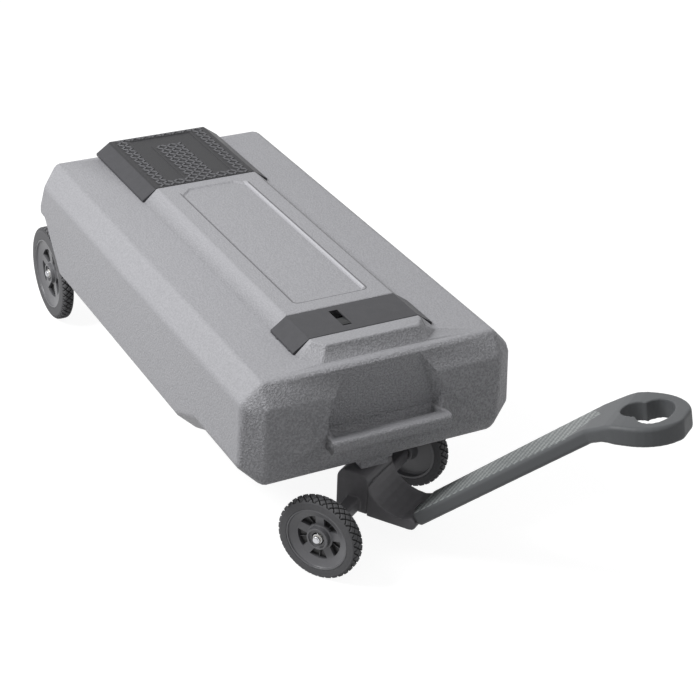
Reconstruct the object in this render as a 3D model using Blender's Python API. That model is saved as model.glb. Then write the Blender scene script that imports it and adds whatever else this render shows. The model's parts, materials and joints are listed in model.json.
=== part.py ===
"""Portable waste water tank on four wheels, with a steered front axle and a tow bar.

Metres, +Z up. The front of the tank faces -Y, and the origin is the middle of its flat underside.
"""
from math import atan2, cos, hypot, pi, radians, sin, sqrt

import bmesh
import bpy
from mathutils import Matrix

# A length that ends in _BACK is measured forward from the tank's rear end

# Tank shell
TANK_LENGTH = 1.200
TANK_WIDTH = 0.596
TANK_DEPTH = 0.265
WALL = 0.005
SIDE_BEVEL_RUN = 0.040
FRONT_TOP_RUN = 0.032
FRONT_TOP_DROP = 0.047
FRONT_FOOT_RUN = 0.018
FRONT_FOOT_DROP = 0.187
FRONT_BELLY_RISE = 0.040
STEP_START = 0.231
STEP_END = 0.325
UNDERCUT_START_BACK = 0.155
UNDERCUT_END_BACK = 0.050
REAR_SHELF_RISE = 0.100
REAR_TOP_RUN = 0.042
REAR_TOP_DROP = 0.094
DECK_EDGE_DROP = 0.043
FRONT_CORNER_INSET = 0.033
FRONT_FOOT_INSET = 0.037
REAR_CORNER_INSET = 0.040
BOTTOM_EDGE_INSET = 0.045
FLANK_LEAN = 0.050
BODY_EDGE_RADIUS = 0.008

# Raised ridge along the deck, its two covers and the shallow panel
RIDGE_HEIGHT = 0.0295
RIDGE_HALF_BASE = 0.153
RIDGE_HALF_TOP = 0.121
NOSE_START = 0.052
NOSE_CORNER = 0.084
NOSE_TIP_HALF_BASE = 0.116
NOSE_TIP_HALF_TOP = 0.103
NOSE_TOP_START = 0.066
NOSE_TOP_CORNER = 0.093
GAUGE_COVER_START = 0.103
GAUGE_COVER_END = 0.206
STEP_COVER_START_BACK = 0.329
STEP_COVER_END_BACK = 0.037
COVER_WALL = 0.0035
COVER_SKIRT = 0.005
COVER_PROUD = 0.002
RIDGE_EDGE_RADIUS = 0.003
PANEL_START = 0.244
PANEL_END_BACK = 0.358
PANEL_HALF_WIDTH = 0.083
PANEL_CORNER_CUT = 0.028
PANEL_DEPTH = 0.003
PANEL_DRAFT = 0.005

# Carry handle moulded into the front wall
PULL_HALF_WIDTH = 0.132
PULL_REACH = 0.034
PULL_TOP_DROP = 0.130
PULL_HEIGHT = 0.028
PULL_LIP = 0.024
PULL_EDGE_RADIUS = 0.008
POCKET_TOP_HALF = 0.080
POCKET_HALF_WIDTH = 0.122
POCKET_FLARE = 0.016
POCKET_DEPTH = 0.026
POCKET_FLOOR = 0.152

# Storage well, waste port and its bayonet cap
WELL_START_BACK = 0.300
WELL_END_BACK = 0.080
WELL_HALF_WIDTH = 0.105
WELL_DEPTH = 0.095
PORT_Y_BACK = 0.190
PORT_BORE = 0.0345
PORT_WALL = 0.004
PORT_FLANGE = 0.052
PORT_FLANGE_THICK = 0.005
PORT_HEIGHT = 0.044
PORT_TAIL = 0.018
SEAL_THICK = 0.002
CAP_WALL = 0.004
CAP_SKIRT = 0.026
CAP_GRIP_HEIGHT = 0.012
CAP_GRIP_THICK = 0.012
BAYONET_LUG = 0.0035
BAYONET_HALF = 0.005

# Level gauge
GAUGE_X = -0.026
GAUGE_Y = 0.156
GAUGE_HOLE = 0.034
GAUGE_FLANGE = 0.043
GAUGE_FLANGE_THICK = 0.003
GAUGE_SWING = 60.0
GAUGE_CRANK = 0.0245
GAUGE_PIVOT_DROP = 0.010
FLOAT_ARM_LENGTH = 0.095
FLOAT_RADIUS = 0.027
FLOAT_REST_ANGLE = 78.0
SLOT_WIDTH = 0.020
SLOT_LENGTH = 0.064
FLAG_LENGTH = 0.032
FLAG_THICK = 0.003
GAUGE_SEAL_THICK = 0.0015
GAUGE_PLUG = 0.022
GAUGE_ARM_THICK = 0.005
GAUGE_PIN_RADIUS = 0.0018
GAUGE_TIP_RADIUS = 0.0035
FLOAT_STEM_RADIUS = 0.0035
FLOAT_HUB_RADIUS = 0.0062

# Lid hinge
HINGE_Y_BACK = 0.0295
HINGE_RISE = 0.0062
KNUCKLE_RADIUS = 0.0048
HINGE_PIN_RADIUS = 0.002
HINGE_X = 0.075
KNUCKLE_LENGTH = 0.018
HINGE_FOOT_THICK = 0.0022
HINGE_SCREW_Y_BACK = 0.062

# Ground, wheels and axles
BELLY_CLEARANCE = 0.155
FRONT_WHEEL_RADIUS = 0.089
FRONT_WHEEL_WIDTH = 0.035
FRONT_HALF_TRACK = 0.210
REAR_WHEEL_RADIUS = 0.114
REAR_WHEEL_WIDTH = 0.032
REAR_HALF_TRACK = 0.279
KINGPIN_Y = 0.066
RIM_RADIUS_FRONT = 0.0685
RIM_RADIUS_REAR = 0.0850
RIM_SETBACK = 0.0015
BARREL_WALL = 0.006
WEB_OFFSET = -0.002
WEB_HALF = 0.005
POCKET_BACK_WALL = 0.002
FRONT_HUB_PROUD = 0.0135
FRONT_HUB_LENGTH = 0.042
REAR_HUB_PROUD = 0.0125
REAR_HUB_LENGTH = 0.040
AXLE_STUB = 0.0055
PUSH_NUT_RADIUS = 0.0105
HUB_RADIUS = 0.0155
AXLE_RADIUS = 0.006
BUSH_WALL = 0.003
SPOKES = 5
SPOKE_WIDTH = 0.018
RIM_POCKET_REACH = 0.70
WHEEL_SEGMENTS = 32

# Steering
STEER_ANGLE = 34.0
PIVOT_BLOCK_HEIGHT = 0.030
PIVOT_FLANGE_THICK = 0.007
PIVOT_FLANGE_HALF = 0.068
PIVOT_BOSS_HALF = 0.040
PIVOT_BLOCK_FRONT = 0.034
PIVOT_BLOCK_BACK = 0.070
WASHER_THICK = 0.002
WASHER_RADIUS = 0.023
KINGPIN_RADIUS = 0.008
KINGPIN_HEAD = 0.014
KINGPIN_HEAD_THICK = 0.008
NUT_HALF_FLATS = 0.012
NUT_HEIGHT = 0.011
CARRIER_HALF_WIDTH = 0.055
CARRIER_BACK = 0.040
CARRIER_FRONT = 0.030
CARRIER_FOOT = 0.019
CARRIER_CROWN_RADIUS = 0.022
BEAM_HALF_THICK = 0.015
BOLT_RADIUS = 0.003
BOLT_HEAD_RADIUS = 0.0055
BOLT_HEAD_THICK = 0.004
BOLT_GRIP = 0.010
BOSS_RADIUS = 0.010
BOSS_HEIGHT = 0.016
SCREW_RADIUS = 0.0018

# Tow tongue and tow bar
TONGUE_HALF_WIDTH = 0.056
TONGUE_SLOT_HALF = 0.016
TONGUE_CHEEK = 0.006
TOW_HINGE_REACH = 0.127
TOW_HINGE_HEIGHT = 0.0809
TONGUE_TIP_RADIUS = 0.0135
TONGUE_PLATE_THICK = 0.021
TONGUE_ROOT_HEIGHT = 0.080
TOW_PIN_RADIUS = 0.004
TOW_PIN_TAIL = 0.0045
TONGUE_BOLT_X = 0.036
TONGUE_BOLT_Z = -0.050
TONGUE_BOLT_GRIP = 0.010
TOW_PITCH = 42.5
BAR_WIDTH = 0.104
NECK_WIDTH = 0.118
BAR_THICK = 0.030
BAR_GAP = 0.001
BAR_EDGE = 0.005
BAR_LENGTH = 0.501
EYE_RADIUS = 0.0125
EYE_NECK_HALF = 0.0060
RING_LENGTH = 0.150
RING_WIDTH = 0.156
RING_THICK = 0.040
RING_LEVELLING = 31.0
RING_HOLE_HALF = 0.050
RING_HOLE_REACH = 0.034
RING_LOBE_HALF = 0.030
RING_LOBE_AHEAD = 0.036

# Rear axle brackets
BRACKET_X = 0.200
BRACKET_THICK = 0.004
BRACKET_BOSS = 0.014
BRACKET_FLANGE = 0.030

# Clearances
SEAT = 0.0003
RUN = 0.0004
SIDE_PLAY = 0.0006

# Levels and stations worked out from the sizes above
FRONT = -TANK_LENGTH / 2
REAR = TANK_LENGTH / 2
DECK = TANK_DEPTH
GROUND = -BELLY_CLEARANCE
RIDGE_TOP = DECK + RIDGE_HEIGHT
FRONT_AXLE_Z = GROUND + FRONT_WHEEL_RADIUS
REAR_AXLE_Z = GROUND + REAR_WHEEL_RADIUS
WELL_FLOOR = DECK - WELL_DEPTH
PIVOT_BLOCK_BOTTOM = FRONT_BELLY_RISE - SEAT - PIVOT_BLOCK_HEIGHT
CARRIER_TOP = PIVOT_BLOCK_BOTTOM - 2 * SEAT - WASHER_THICK
TOW_HINGE_Z = GROUND + TOW_HINGE_HEIGHT
NUT_TOP = FRONT_AXLE_Z + AXLE_RADIUS + 0.0030 + NUT_HEIGHT
FRONT_HUB_OUT = FRONT_WHEEL_WIDTH / 2 - FRONT_HUB_PROUD
REAR_HUB_OUT = REAR_WHEEL_WIDTH / 2 - REAR_HUB_PROUD

MATERIALS = {
    "tank_polyethylene": ((0.40, 0.40, 0.42), 0.62, 0.0),
    "cover_plastic": ((0.070, 0.070, 0.075), 0.50, 0.0),
    "tow_plastic": ((0.110, 0.112, 0.118), 0.48, 0.0),
    "carrier_plastic": ((0.040, 0.040, 0.044), 0.50, 0.0),
    "rim_plastic": ((0.100, 0.100, 0.108), 0.42, 0.0),
    "tyre_rubber": ((0.030, 0.030, 0.032), 0.80, 0.0),
    "seal_rubber": ((0.020, 0.020, 0.020), 0.85, 0.0),
    "port_plastic": ((0.055, 0.055, 0.060), 0.45, 0.0),
    "float_plastic": ((0.65, 0.63, 0.58), 0.55, 0.0),
    "flag_plastic": ((0.42, 0.43, 0.44), 0.45, 0.0),
    "bush_nylon": ((0.70, 0.69, 0.66), 0.45, 0.0),
    "zinc_steel": ((0.62, 0.62, 0.63), 0.32, 1.0),
}


def clear_scene():
    for obj in list(bpy.data.objects):
        bpy.data.objects.remove(obj, do_unlink=True)


def material(name):
    """The Principled BSDF of one finish, made the first time that it is asked for."""
    found = bpy.data.materials.get(name)
    if found:
        return found
    colour, roughness, metallic = MATERIALS[name]
    made = bpy.data.materials.new(name)
    made.use_nodes = True
    shader = made.node_tree.nodes["Principled BSDF"]
    shader.inputs["Base Color"].default_value = (*colour, 1.0)
    shader.inputs["Roughness"].default_value = roughness
    shader.inputs["Metallic"].default_value = metallic
    made.diffuse_color = (*colour, 1.0)
    return made


def mesh_from(bm, name):
    """Finish a bmesh: doubles merged, faces pointing out."""
    bmesh.ops.remove_doubles(bm, verts=bm.verts, dist=1e-6)
    bmesh.ops.recalc_face_normals(bm, faces=bm.faces)
    mesh = bpy.data.meshes.new(name)
    bm.to_mesh(mesh)
    bm.free()
    return mesh


def add_piece(name, bm, finish, parent=None):
    mesh = mesh_from(bm, name)
    mesh.shade_smooth()
    mesh.set_sharp_from_angle(angle=radians(28))
    obj = bpy.data.objects.new(name, mesh)
    obj.data.materials.append(material(finish))
    bpy.context.scene.collection.objects.link(obj)
    obj.parent = parent
    return obj


def add_tool(name, bm, parent=None):
    """A shape that only cuts or adds to another, and is left out of the object."""
    obj = bpy.data.objects.new(name, mesh_from(bm, name))
    bpy.context.scene.collection.objects.link(obj)
    obj.display_type = 'WIRE'
    obj.hide_render = True
    obj.parent = parent
    return obj


def add_pivot(name, place, parent=None, turn=(0.0, 0.0, 0.0)):
    empty = bpy.data.objects.new(name, None)
    bpy.context.scene.collection.objects.link(empty)
    empty.location = place
    empty.rotation_euler = [radians(angle) for angle in turn]
    empty.parent = parent
    return empty


def combine(obj, tool, operation='DIFFERENCE'):
    """Put a tool with the others that add to an object, or cut it; what adds is joined before the cuts."""
    name = f"{obj.name}_{operation.lower()}"
    group = bpy.data.collections.get(name)
    if group is None:
        group = bpy.data.collections.new(name)
        bpy.context.scene.collection.children.link(group)
        modifier = obj.modifiers.new(name, 'BOOLEAN')
        modifier.operation = operation
        modifier.solver = 'EXACT'
        modifier.operand_type = 'COLLECTION'
        modifier.collection = group
        cut = obj.modifiers.find(f"{obj.name}_difference")
        if operation == 'UNION' and cut >= 0:
            obj.modifiers.move(len(obj.modifiers) - 1, cut)
    group.objects.link(tool)
    bpy.context.scene.collection.objects.unlink(tool)


def join(obj, name, bm, parent=None):
    combine(obj, add_tool(name, bm, parent), 'UNION')


def cut(obj, name, bm, parent=None):
    combine(obj, add_tool(name, bm, parent))


def bevel(obj, width, segments=2, angle=28.0):
    modifier = obj.modifiers.new("rounded_edges", 'BEVEL')
    modifier.width = width
    modifier.segments = segments
    modifier.limit_method = 'ANGLE'
    modifier.angle_limit = radians(angle)


def loft(rings):
    """A closed solid through rings of equal count, capped at both ends."""
    bm = bmesh.new()
    rows = [[bm.verts.new(point) for point in ring] for ring in rings]
    for low, high in zip(rows, rows[1:]):
        for i in range(len(low)):
            j = (i + 1) % len(low)
            bm.faces.new((low[i], low[j], high[j], high[i]))
    bm.faces.new(list(reversed(rows[0])))
    bm.faces.new(rows[-1])
    return bm


def prism(outline, low, high, axis):
    """An outline of pairs carried from low to high along X, Y or Z."""
    places = {
        'X': lambda a, b, h: (h, a, b),
        'Y': lambda a, b, h: (a, h, b),
        'Z': lambda a, b, h: (a, b, h),
    }
    put = places[axis]
    return loft([[put(a, b, h) for a, b in outline] for h in (low, high)])


def box(low, high):
    corners = [(low[0], low[1]), (high[0], low[1]), (high[0], high[1]), (low[0], high[1])]
    return prism(corners, low[2], high[2], 'Z')


AXIS_TURNS = {
    'X': Matrix.Rotation(radians(90), 4, 'Y'),
    'Y': Matrix.Rotation(radians(-90), 4, 'X'),
    'Z': Matrix.Identity(4),
}


def turned(profile, centre=(0.0, 0.0, 0.0), axis='Z', segments=24, ring=False):
    """A profile of (radius, height) pairs turned about an axis through the centre.

    An open profile starts and ends on the axis; a ring profile is closed and stays off it.
    """
    bm = bmesh.new()
    rows = []
    for radius, height in profile:
        if radius == 0.0:
            rows.append([bm.verts.new((0.0, 0.0, height))])
            continue
        angles = [2 * pi * k / segments for k in range(segments)]
        rows.append([bm.verts.new((radius * cos(a), radius * sin(a), height)) for a in angles])
    pairs = list(zip(rows, rows[1:]))
    if ring:
        pairs.append((rows[-1], rows[0]))
    for low, high in pairs:
        for i in range(segments):
            j = (i + 1) % segments
            corners = [low[i % len(low)], low[j % len(low)], high[j % len(high)], high[i % len(high)]]
            bm.faces.new(list(dict.fromkeys(corners)))
    place = Matrix.Translation(centre) @ AXIS_TURNS[axis]
    bmesh.ops.transform(bm, matrix=place, verts=bm.verts)
    return bm


def rod(radius, low, high, centre=(0.0, 0.0, 0.0), axis='Z', segments=20):
    profile = [(0.0, low), (radius, low), (radius, high), (0.0, high)]
    return turned(profile, centre, axis, segments)


def tube(inner, outer, low, high, centre=(0.0, 0.0, 0.0), axis='Z', segments=24):
    profile = [(inner, low), (outer, low), (outer, high), (inner, high)]
    return turned(profile, centre, axis, segments, ring=True)


def offset_outline(points, distances):
    """Move each edge of an anticlockwise outline inwards by its own distance."""
    lines = []
    count = len(points)
    for i, gap in enumerate(distances):
        (ax, ay), (bx, by) = points[i], points[(i + 1) % count]
        length = hypot(bx - ax, by - ay)
        dx, dy = (bx - ax) / length, (by - ay) / length
        lines.append((ax - dy * gap, ay + dx * gap, dx, dy))
    moved = []
    for i in range(count):
        px, py, pdx, pdy = lines[i - 1]
        qx, qy, qdx, qdy = lines[i]
        cross = pdx * qdy - pdy * qdx
        along = ((qx - px) * qdy - (qy - py) * qdx) / cross
        moved.append((px + pdx * along, py + pdy * along))
    return moved


def arc(centre, radius, start, end, steps):
    """Points on a circle from the start angle to the end angle, in degrees."""
    angles = [radians(start + (end - start) * k / steps) for k in range(steps + 1)]
    return [(centre[0] + radius * cos(a), centre[1] + radius * sin(a)) for a in angles]


def side_profile():
    """The tank seen from its side, anticlockwise in (y, z), with the inset of each edge at the flanks."""
    return [
        ((FRONT + FRONT_TOP_RUN, DECK), FRONT_CORNER_INSET),
        ((FRONT, DECK - FRONT_TOP_DROP), FRONT_CORNER_INSET),
        ((FRONT, DECK - FRONT_FOOT_DROP), FRONT_FOOT_INSET),
        ((FRONT + FRONT_FOOT_RUN, FRONT_BELLY_RISE), BOTTOM_EDGE_INSET),
        ((FRONT + STEP_START, FRONT_BELLY_RISE), BOTTOM_EDGE_INSET),
        ((FRONT + STEP_END, 0.0), BOTTOM_EDGE_INSET),
        ((REAR - UNDERCUT_START_BACK, 0.0), BOTTOM_EDGE_INSET),
        ((REAR - UNDERCUT_END_BACK, REAR_SHELF_RISE), BOTTOM_EDGE_INSET),
        ((REAR, REAR_SHELF_RISE), REAR_CORNER_INSET),
        ((REAR, DECK - REAR_TOP_DROP), REAR_CORNER_INSET),
        ((REAR - REAR_TOP_RUN, DECK), DECK_EDGE_DROP),
    ]


def tank_loft(shrink):
    """The tank's hull: the full side profile in the middle, drawn in at both flanks.

    The flanks lean out below the deck's edge by FLANK_LEAN for each unit of height.
    """
    points = [point for point, inset in side_profile()]
    insets = [inset + shrink for point, inset in side_profile()]
    full = offset_outline(points, [shrink] * len(points))
    flank = offset_outline(points, insets)
    half = TANK_WIDTH / 2 - shrink
    shoulder = TANK_WIDTH / 2 - SIDE_BEVEL_RUN - shrink / 2
    edge = DECK - DECK_EDGE_DROP

    def flank_ring(side):
        return [(side * (half + FLANK_LEAN * (edge - z)), y, z) for y, z in flank]

    def shoulder_ring(side):
        return [(side * shoulder, y, z) for y, z in full]

    return loft([flank_ring(-1), shoulder_ring(-1), shoulder_ring(1), flank_ring(1)])


def raised_block(base, top, sink, shrink=0.0):
    """A block with sloped sides on the deck; base and top are plans, and it sinks below the deck."""
    height = RIDGE_HEIGHT
    stretch = (height + sink) / height
    foot = [(tx + (bx - tx) * stretch, ty + (by - ty) * stretch) for (bx, by), (tx, ty) in zip(base, top)]
    if shrink:
        foot = offset_outline(foot, [shrink] * len(foot))
        top = offset_outline(top, [shrink] * len(top))
    low = [(x, y, DECK - sink) for x, y in foot]
    high = [(x, y, RIDGE_TOP - shrink) for x, y in top]
    return loft([low, high])


def nose_plans():
    base = [
        (-RIDGE_HALF_BASE, GAUGE_COVER_START), (-RIDGE_HALF_BASE, NOSE_CORNER),
        (-NOSE_TIP_HALF_BASE, NOSE_START), (NOSE_TIP_HALF_BASE, NOSE_START),
        (RIDGE_HALF_BASE, NOSE_CORNER), (RIDGE_HALF_BASE, GAUGE_COVER_START),
    ]
    top = [
        (-RIDGE_HALF_TOP, GAUGE_COVER_START), (-RIDGE_HALF_TOP, NOSE_TOP_CORNER),
        (-NOSE_TIP_HALF_TOP, NOSE_TOP_START), (NOSE_TIP_HALF_TOP, NOSE_TOP_START),
        (RIDGE_HALF_TOP, NOSE_TOP_CORNER), (RIDGE_HALF_TOP, GAUGE_COVER_START),
    ]
    return [(x, FRONT + y) for x, y in base], [(x, FRONT + y) for x, y in top]


def ridge_plans():
    y0, y1 = FRONT + GAUGE_COVER_END, REAR - STEP_COVER_START_BACK
    base = [(-RIDGE_HALF_BASE, y1), (-RIDGE_HALF_BASE, y0), (RIDGE_HALF_BASE, y0), (RIDGE_HALF_BASE, y1)]
    top = [(-RIDGE_HALF_TOP, y1), (-RIDGE_HALF_TOP, y0), (RIDGE_HALF_TOP, y0), (RIDGE_HALF_TOP, y1)]
    return base, top


def panel_cutter():
    """The shallow panel in the ridge: corners cut, walls drafted."""
    y0, y1 = FRONT + PANEL_START, REAR - PANEL_END_BACK
    w, c = PANEL_HALF_WIDTH, PANEL_CORNER_CUT
    f = c / 2
    outline = [
        (-w + f, y0), (w - f, y0), (w, y0 + f), (w, y1 - c),
        (w - c, y1), (-w + c, y1), (-w, y1 - c), (-w, y0 + f),
    ]
    floor = offset_outline(outline, [PANEL_DRAFT] * len(outline))
    over = 0.004
    spread = -PANEL_DRAFT * over / PANEL_DEPTH
    mouth = offset_outline(outline, [spread] * len(outline))
    low = [(x, y, RIDGE_TOP - PANEL_DEPTH) for x, y in floor]
    high = [(x, y, RIDGE_TOP + over) for x, y in mouth]
    return loft([low, high])


def scoop_cutter(grow=0.0):
    """The hollow above the carry handle: narrow at its top, and flared towards the front."""
    top = DECK + 0.004
    low = DECK - PULL_TOP_DROP + RUN - grow
    back = FRONT + POCKET_DEPTH + grow
    mouth = FRONT - 0.060

    def section(y, half_low, half_top):
        return [(-half_low, y, low), (half_low, y, low), (half_top, y, top), (-half_top, y, top)]

    inner = section(back, POCKET_HALF_WIDTH + grow, POCKET_TOP_HALF + grow)
    spread = POCKET_HALF_WIDTH + POCKET_FLARE + grow
    bm = loft([inner, section(mouth, spread, spread)])
    # The sides aren't flat, so both the hollow and its wall are folded along the same diagonal
    bmesh.ops.triangulate(bm, faces=bm.faces, quad_method='SHORT_EDGE')
    return bm


def finger_slot(grow=0.0):
    """The gap behind the carry handle, open at its top."""
    half = POCKET_HALF_WIDTH - 0.004 + grow
    back = FRONT + POCKET_DEPTH - 0.001 + grow
    low = (-half, FRONT - PULL_REACH + PULL_LIP, DECK - POCKET_FLOOR - grow)
    high = (half, back, DECK - PULL_TOP_DROP + 0.010)
    return box(low, high)


def pull_bar():
    """The carry handle: a rounded bar that stands proud of the front wall."""
    top = DECK - PULL_TOP_DROP
    low = top - PULL_HEIGHT
    reach = FRONT - PULL_REACH
    back = FRONT + 0.012
    r = PULL_EDGE_RADIUS
    outline = [(back, low), (back, top)]
    outline += arc((reach + r, top - r), r, 90, 180, 3)
    outline += arc((reach + r, low + r), r, 180, 270, 3)
    return prism(outline, -PULL_HALF_WIDTH, PULL_HALF_WIDTH, 'X')


def plate_bolt_places():
    """The four bolts that hold the pivot block, as (x, y)."""
    inset = PIVOT_FLANGE_HALF - BOSS_RADIUS
    middle = FRONT + KINGPIN_Y
    ends = (middle - PIVOT_BLOCK_FRONT + BOSS_RADIUS, middle + PIVOT_BLOCK_BACK - BOSS_RADIUS)
    return [(side * inset, y) for side in (-1, 1) for y in ends]


def bracket_bolt_places():
    """The bolts that hold the rear axle brackets to the rear shelf, as (x, y)."""
    y = REAR - UNDERCUT_END_BACK / 2
    return [(side * (BRACKET_X - BRACKET_FLANGE / 2), y) for side in (-1, 1)]


def hinge_screw_places():
    return [(side * HINGE_X, REAR - HINGE_SCREW_Y_BACK) for side in (-1, 1)]


def well_box(grow):
    low = (-WELL_HALF_WIDTH - grow, REAR - WELL_START_BACK - grow, WELL_FLOOR - grow)
    high = (WELL_HALF_WIDTH + grow, REAR - WELL_END_BACK + grow, DECK + 0.010)
    return box(low, high)


def make_cavity():
    """The space inside the tank, with the well, the pocket and the solid bosses left standing."""
    cavity = add_tool("cavity", tank_loft(WALL))
    join(cavity, "nose_core", raised_block(*nose_plans(), sink=0.020, shrink=WALL))
    join(cavity, "ridge_core", raised_block(*ridge_plans(), sink=0.020, shrink=WALL))
    cut(cavity, "well_wall", well_box(WALL))
    cut(cavity, "scoop_wall", scoop_cutter(WALL))
    cut(cavity, "slot_wall", finger_slot(WALL))
    places = [(x, y, FRONT_BELLY_RISE - BOSS_HEIGHT) for x, y in plate_bolt_places()]
    places += [(x, y, REAR_SHELF_RISE - BOSS_HEIGHT) for x, y in bracket_bolt_places()]
    places += [(x, y, DECK - BOSS_HEIGHT) for x, y in hinge_screw_places()]
    for i, (x, y, z) in enumerate(places):
        cut(cavity, f"boss_{i}", rod(BOSS_RADIUS, z, z + 2 * BOSS_HEIGHT, (x, y, 0.0), segments=12))
    return cavity


def make_tank():
    tank = add_piece("tank_body", tank_loft(0.0), "tank_polyethylene")
    bevel(tank, BODY_EDGE_RADIUS)
    nose = add_tool("nose_block", raised_block(*nose_plans(), sink=0.020))
    bevel(nose, RIDGE_EDGE_RADIUS)
    ridge = add_tool("ridge_block", raised_block(*ridge_plans(), sink=0.020))
    bevel(ridge, RIDGE_EDGE_RADIUS)
    combine(tank, nose, 'UNION')
    combine(tank, ridge, 'UNION')
    join(tank, "pull_bar", pull_bar())
    cut(tank, "scoop", scoop_cutter())
    cut(tank, "finger_slot", finger_slot())
    cut(tank, "panel_recess", panel_cutter())
    cut(tank, "well", well_box(0.0))
    combine(tank, make_cavity())
    port = (0.0, REAR - PORT_Y_BACK, 0.0)
    reach = PORT_BORE + PORT_WALL + RUN
    cut(tank, "port_hole", rod(reach, WELL_FLOOR - 0.02, WELL_FLOOR + 0.02, port, segments=32))
    gauge = (GAUGE_X, FRONT + GAUGE_Y, 0.0)
    cut(tank, "gauge_hole", rod(GAUGE_HOLE, DECK - 0.02, DECK + 0.02, gauge, segments=32))
    holes = [(x, y, FRONT_BELLY_RISE - SEAT, BOLT_RADIUS) for x, y in plate_bolt_places()]
    holes += [(x, y, REAR_SHELF_RISE - SEAT, BOLT_RADIUS) for x, y in bracket_bolt_places()]
    for i, (x, y, z, radius) in enumerate(holes):
        tool = rod(radius + SEAT, z - 0.005, z + BOLT_GRIP + SEAT, (x, y, 0.0), segments=12)
        cut(tank, f"bolt_hole_{i}", tool)
    for i, (x, y) in enumerate(hinge_screw_places()):
        tool = rod(SCREW_RADIUS + SEAT, DECK - BOLT_GRIP, DECK + 0.005, (x, y, 0.0), segments=12)
        cut(tank, f"hinge_screw_hole_{i}", tool)
    return tank


def cover_outlines():
    """The outer and inner outlines of a ridge cover across the tank, as (x, z)."""
    foot = DECK + SEAT
    half_foot = RIDGE_HALF_BASE + COVER_PROUD
    outer = [
        (-half_foot, foot), (half_foot, foot), (half_foot, foot + COVER_SKIRT),
        (RIDGE_HALF_TOP, RIDGE_TOP), (-RIDGE_HALF_TOP, RIDGE_TOP), (-half_foot, foot + COVER_SKIRT),
    ]
    inner = offset_outline(outer, [-0.005] + [COVER_WALL] * 5)
    return outer, inner


def make_gauge_cover():
    outer, inner = cover_outlines()
    low, high = FRONT + GAUGE_COVER_START + SEAT, FRONT + GAUGE_COVER_END - SEAT
    cover = add_piece("gauge_cover", prism(outer, low, high, 'Y'), "cover_plastic")
    cut(cover, "gauge_cover_hollow", prism(inner, low - 0.01, high + 0.01, 'Y'))
    y = FRONT + GAUGE_Y
    half = SLOT_WIDTH / 2
    low = (GAUGE_X - half, y - SLOT_LENGTH / 2, RIDGE_TOP - 0.010)
    high = (GAUGE_X + half, y + SLOT_LENGTH / 2, RIDGE_TOP + 0.010)
    cut(cover, "gauge_slot", box(low, high))


def capsule(start, end, radius, steps=5):
    """The outline of a bar with round ends between two points."""
    angle = atan2(end[1] - start[1], end[0] - start[0]) * 180 / pi
    far = arc(end, radius, angle - 90, angle + 90, steps)
    return far + arc(start, radius, angle + 90, angle + 270, steps)


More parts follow.
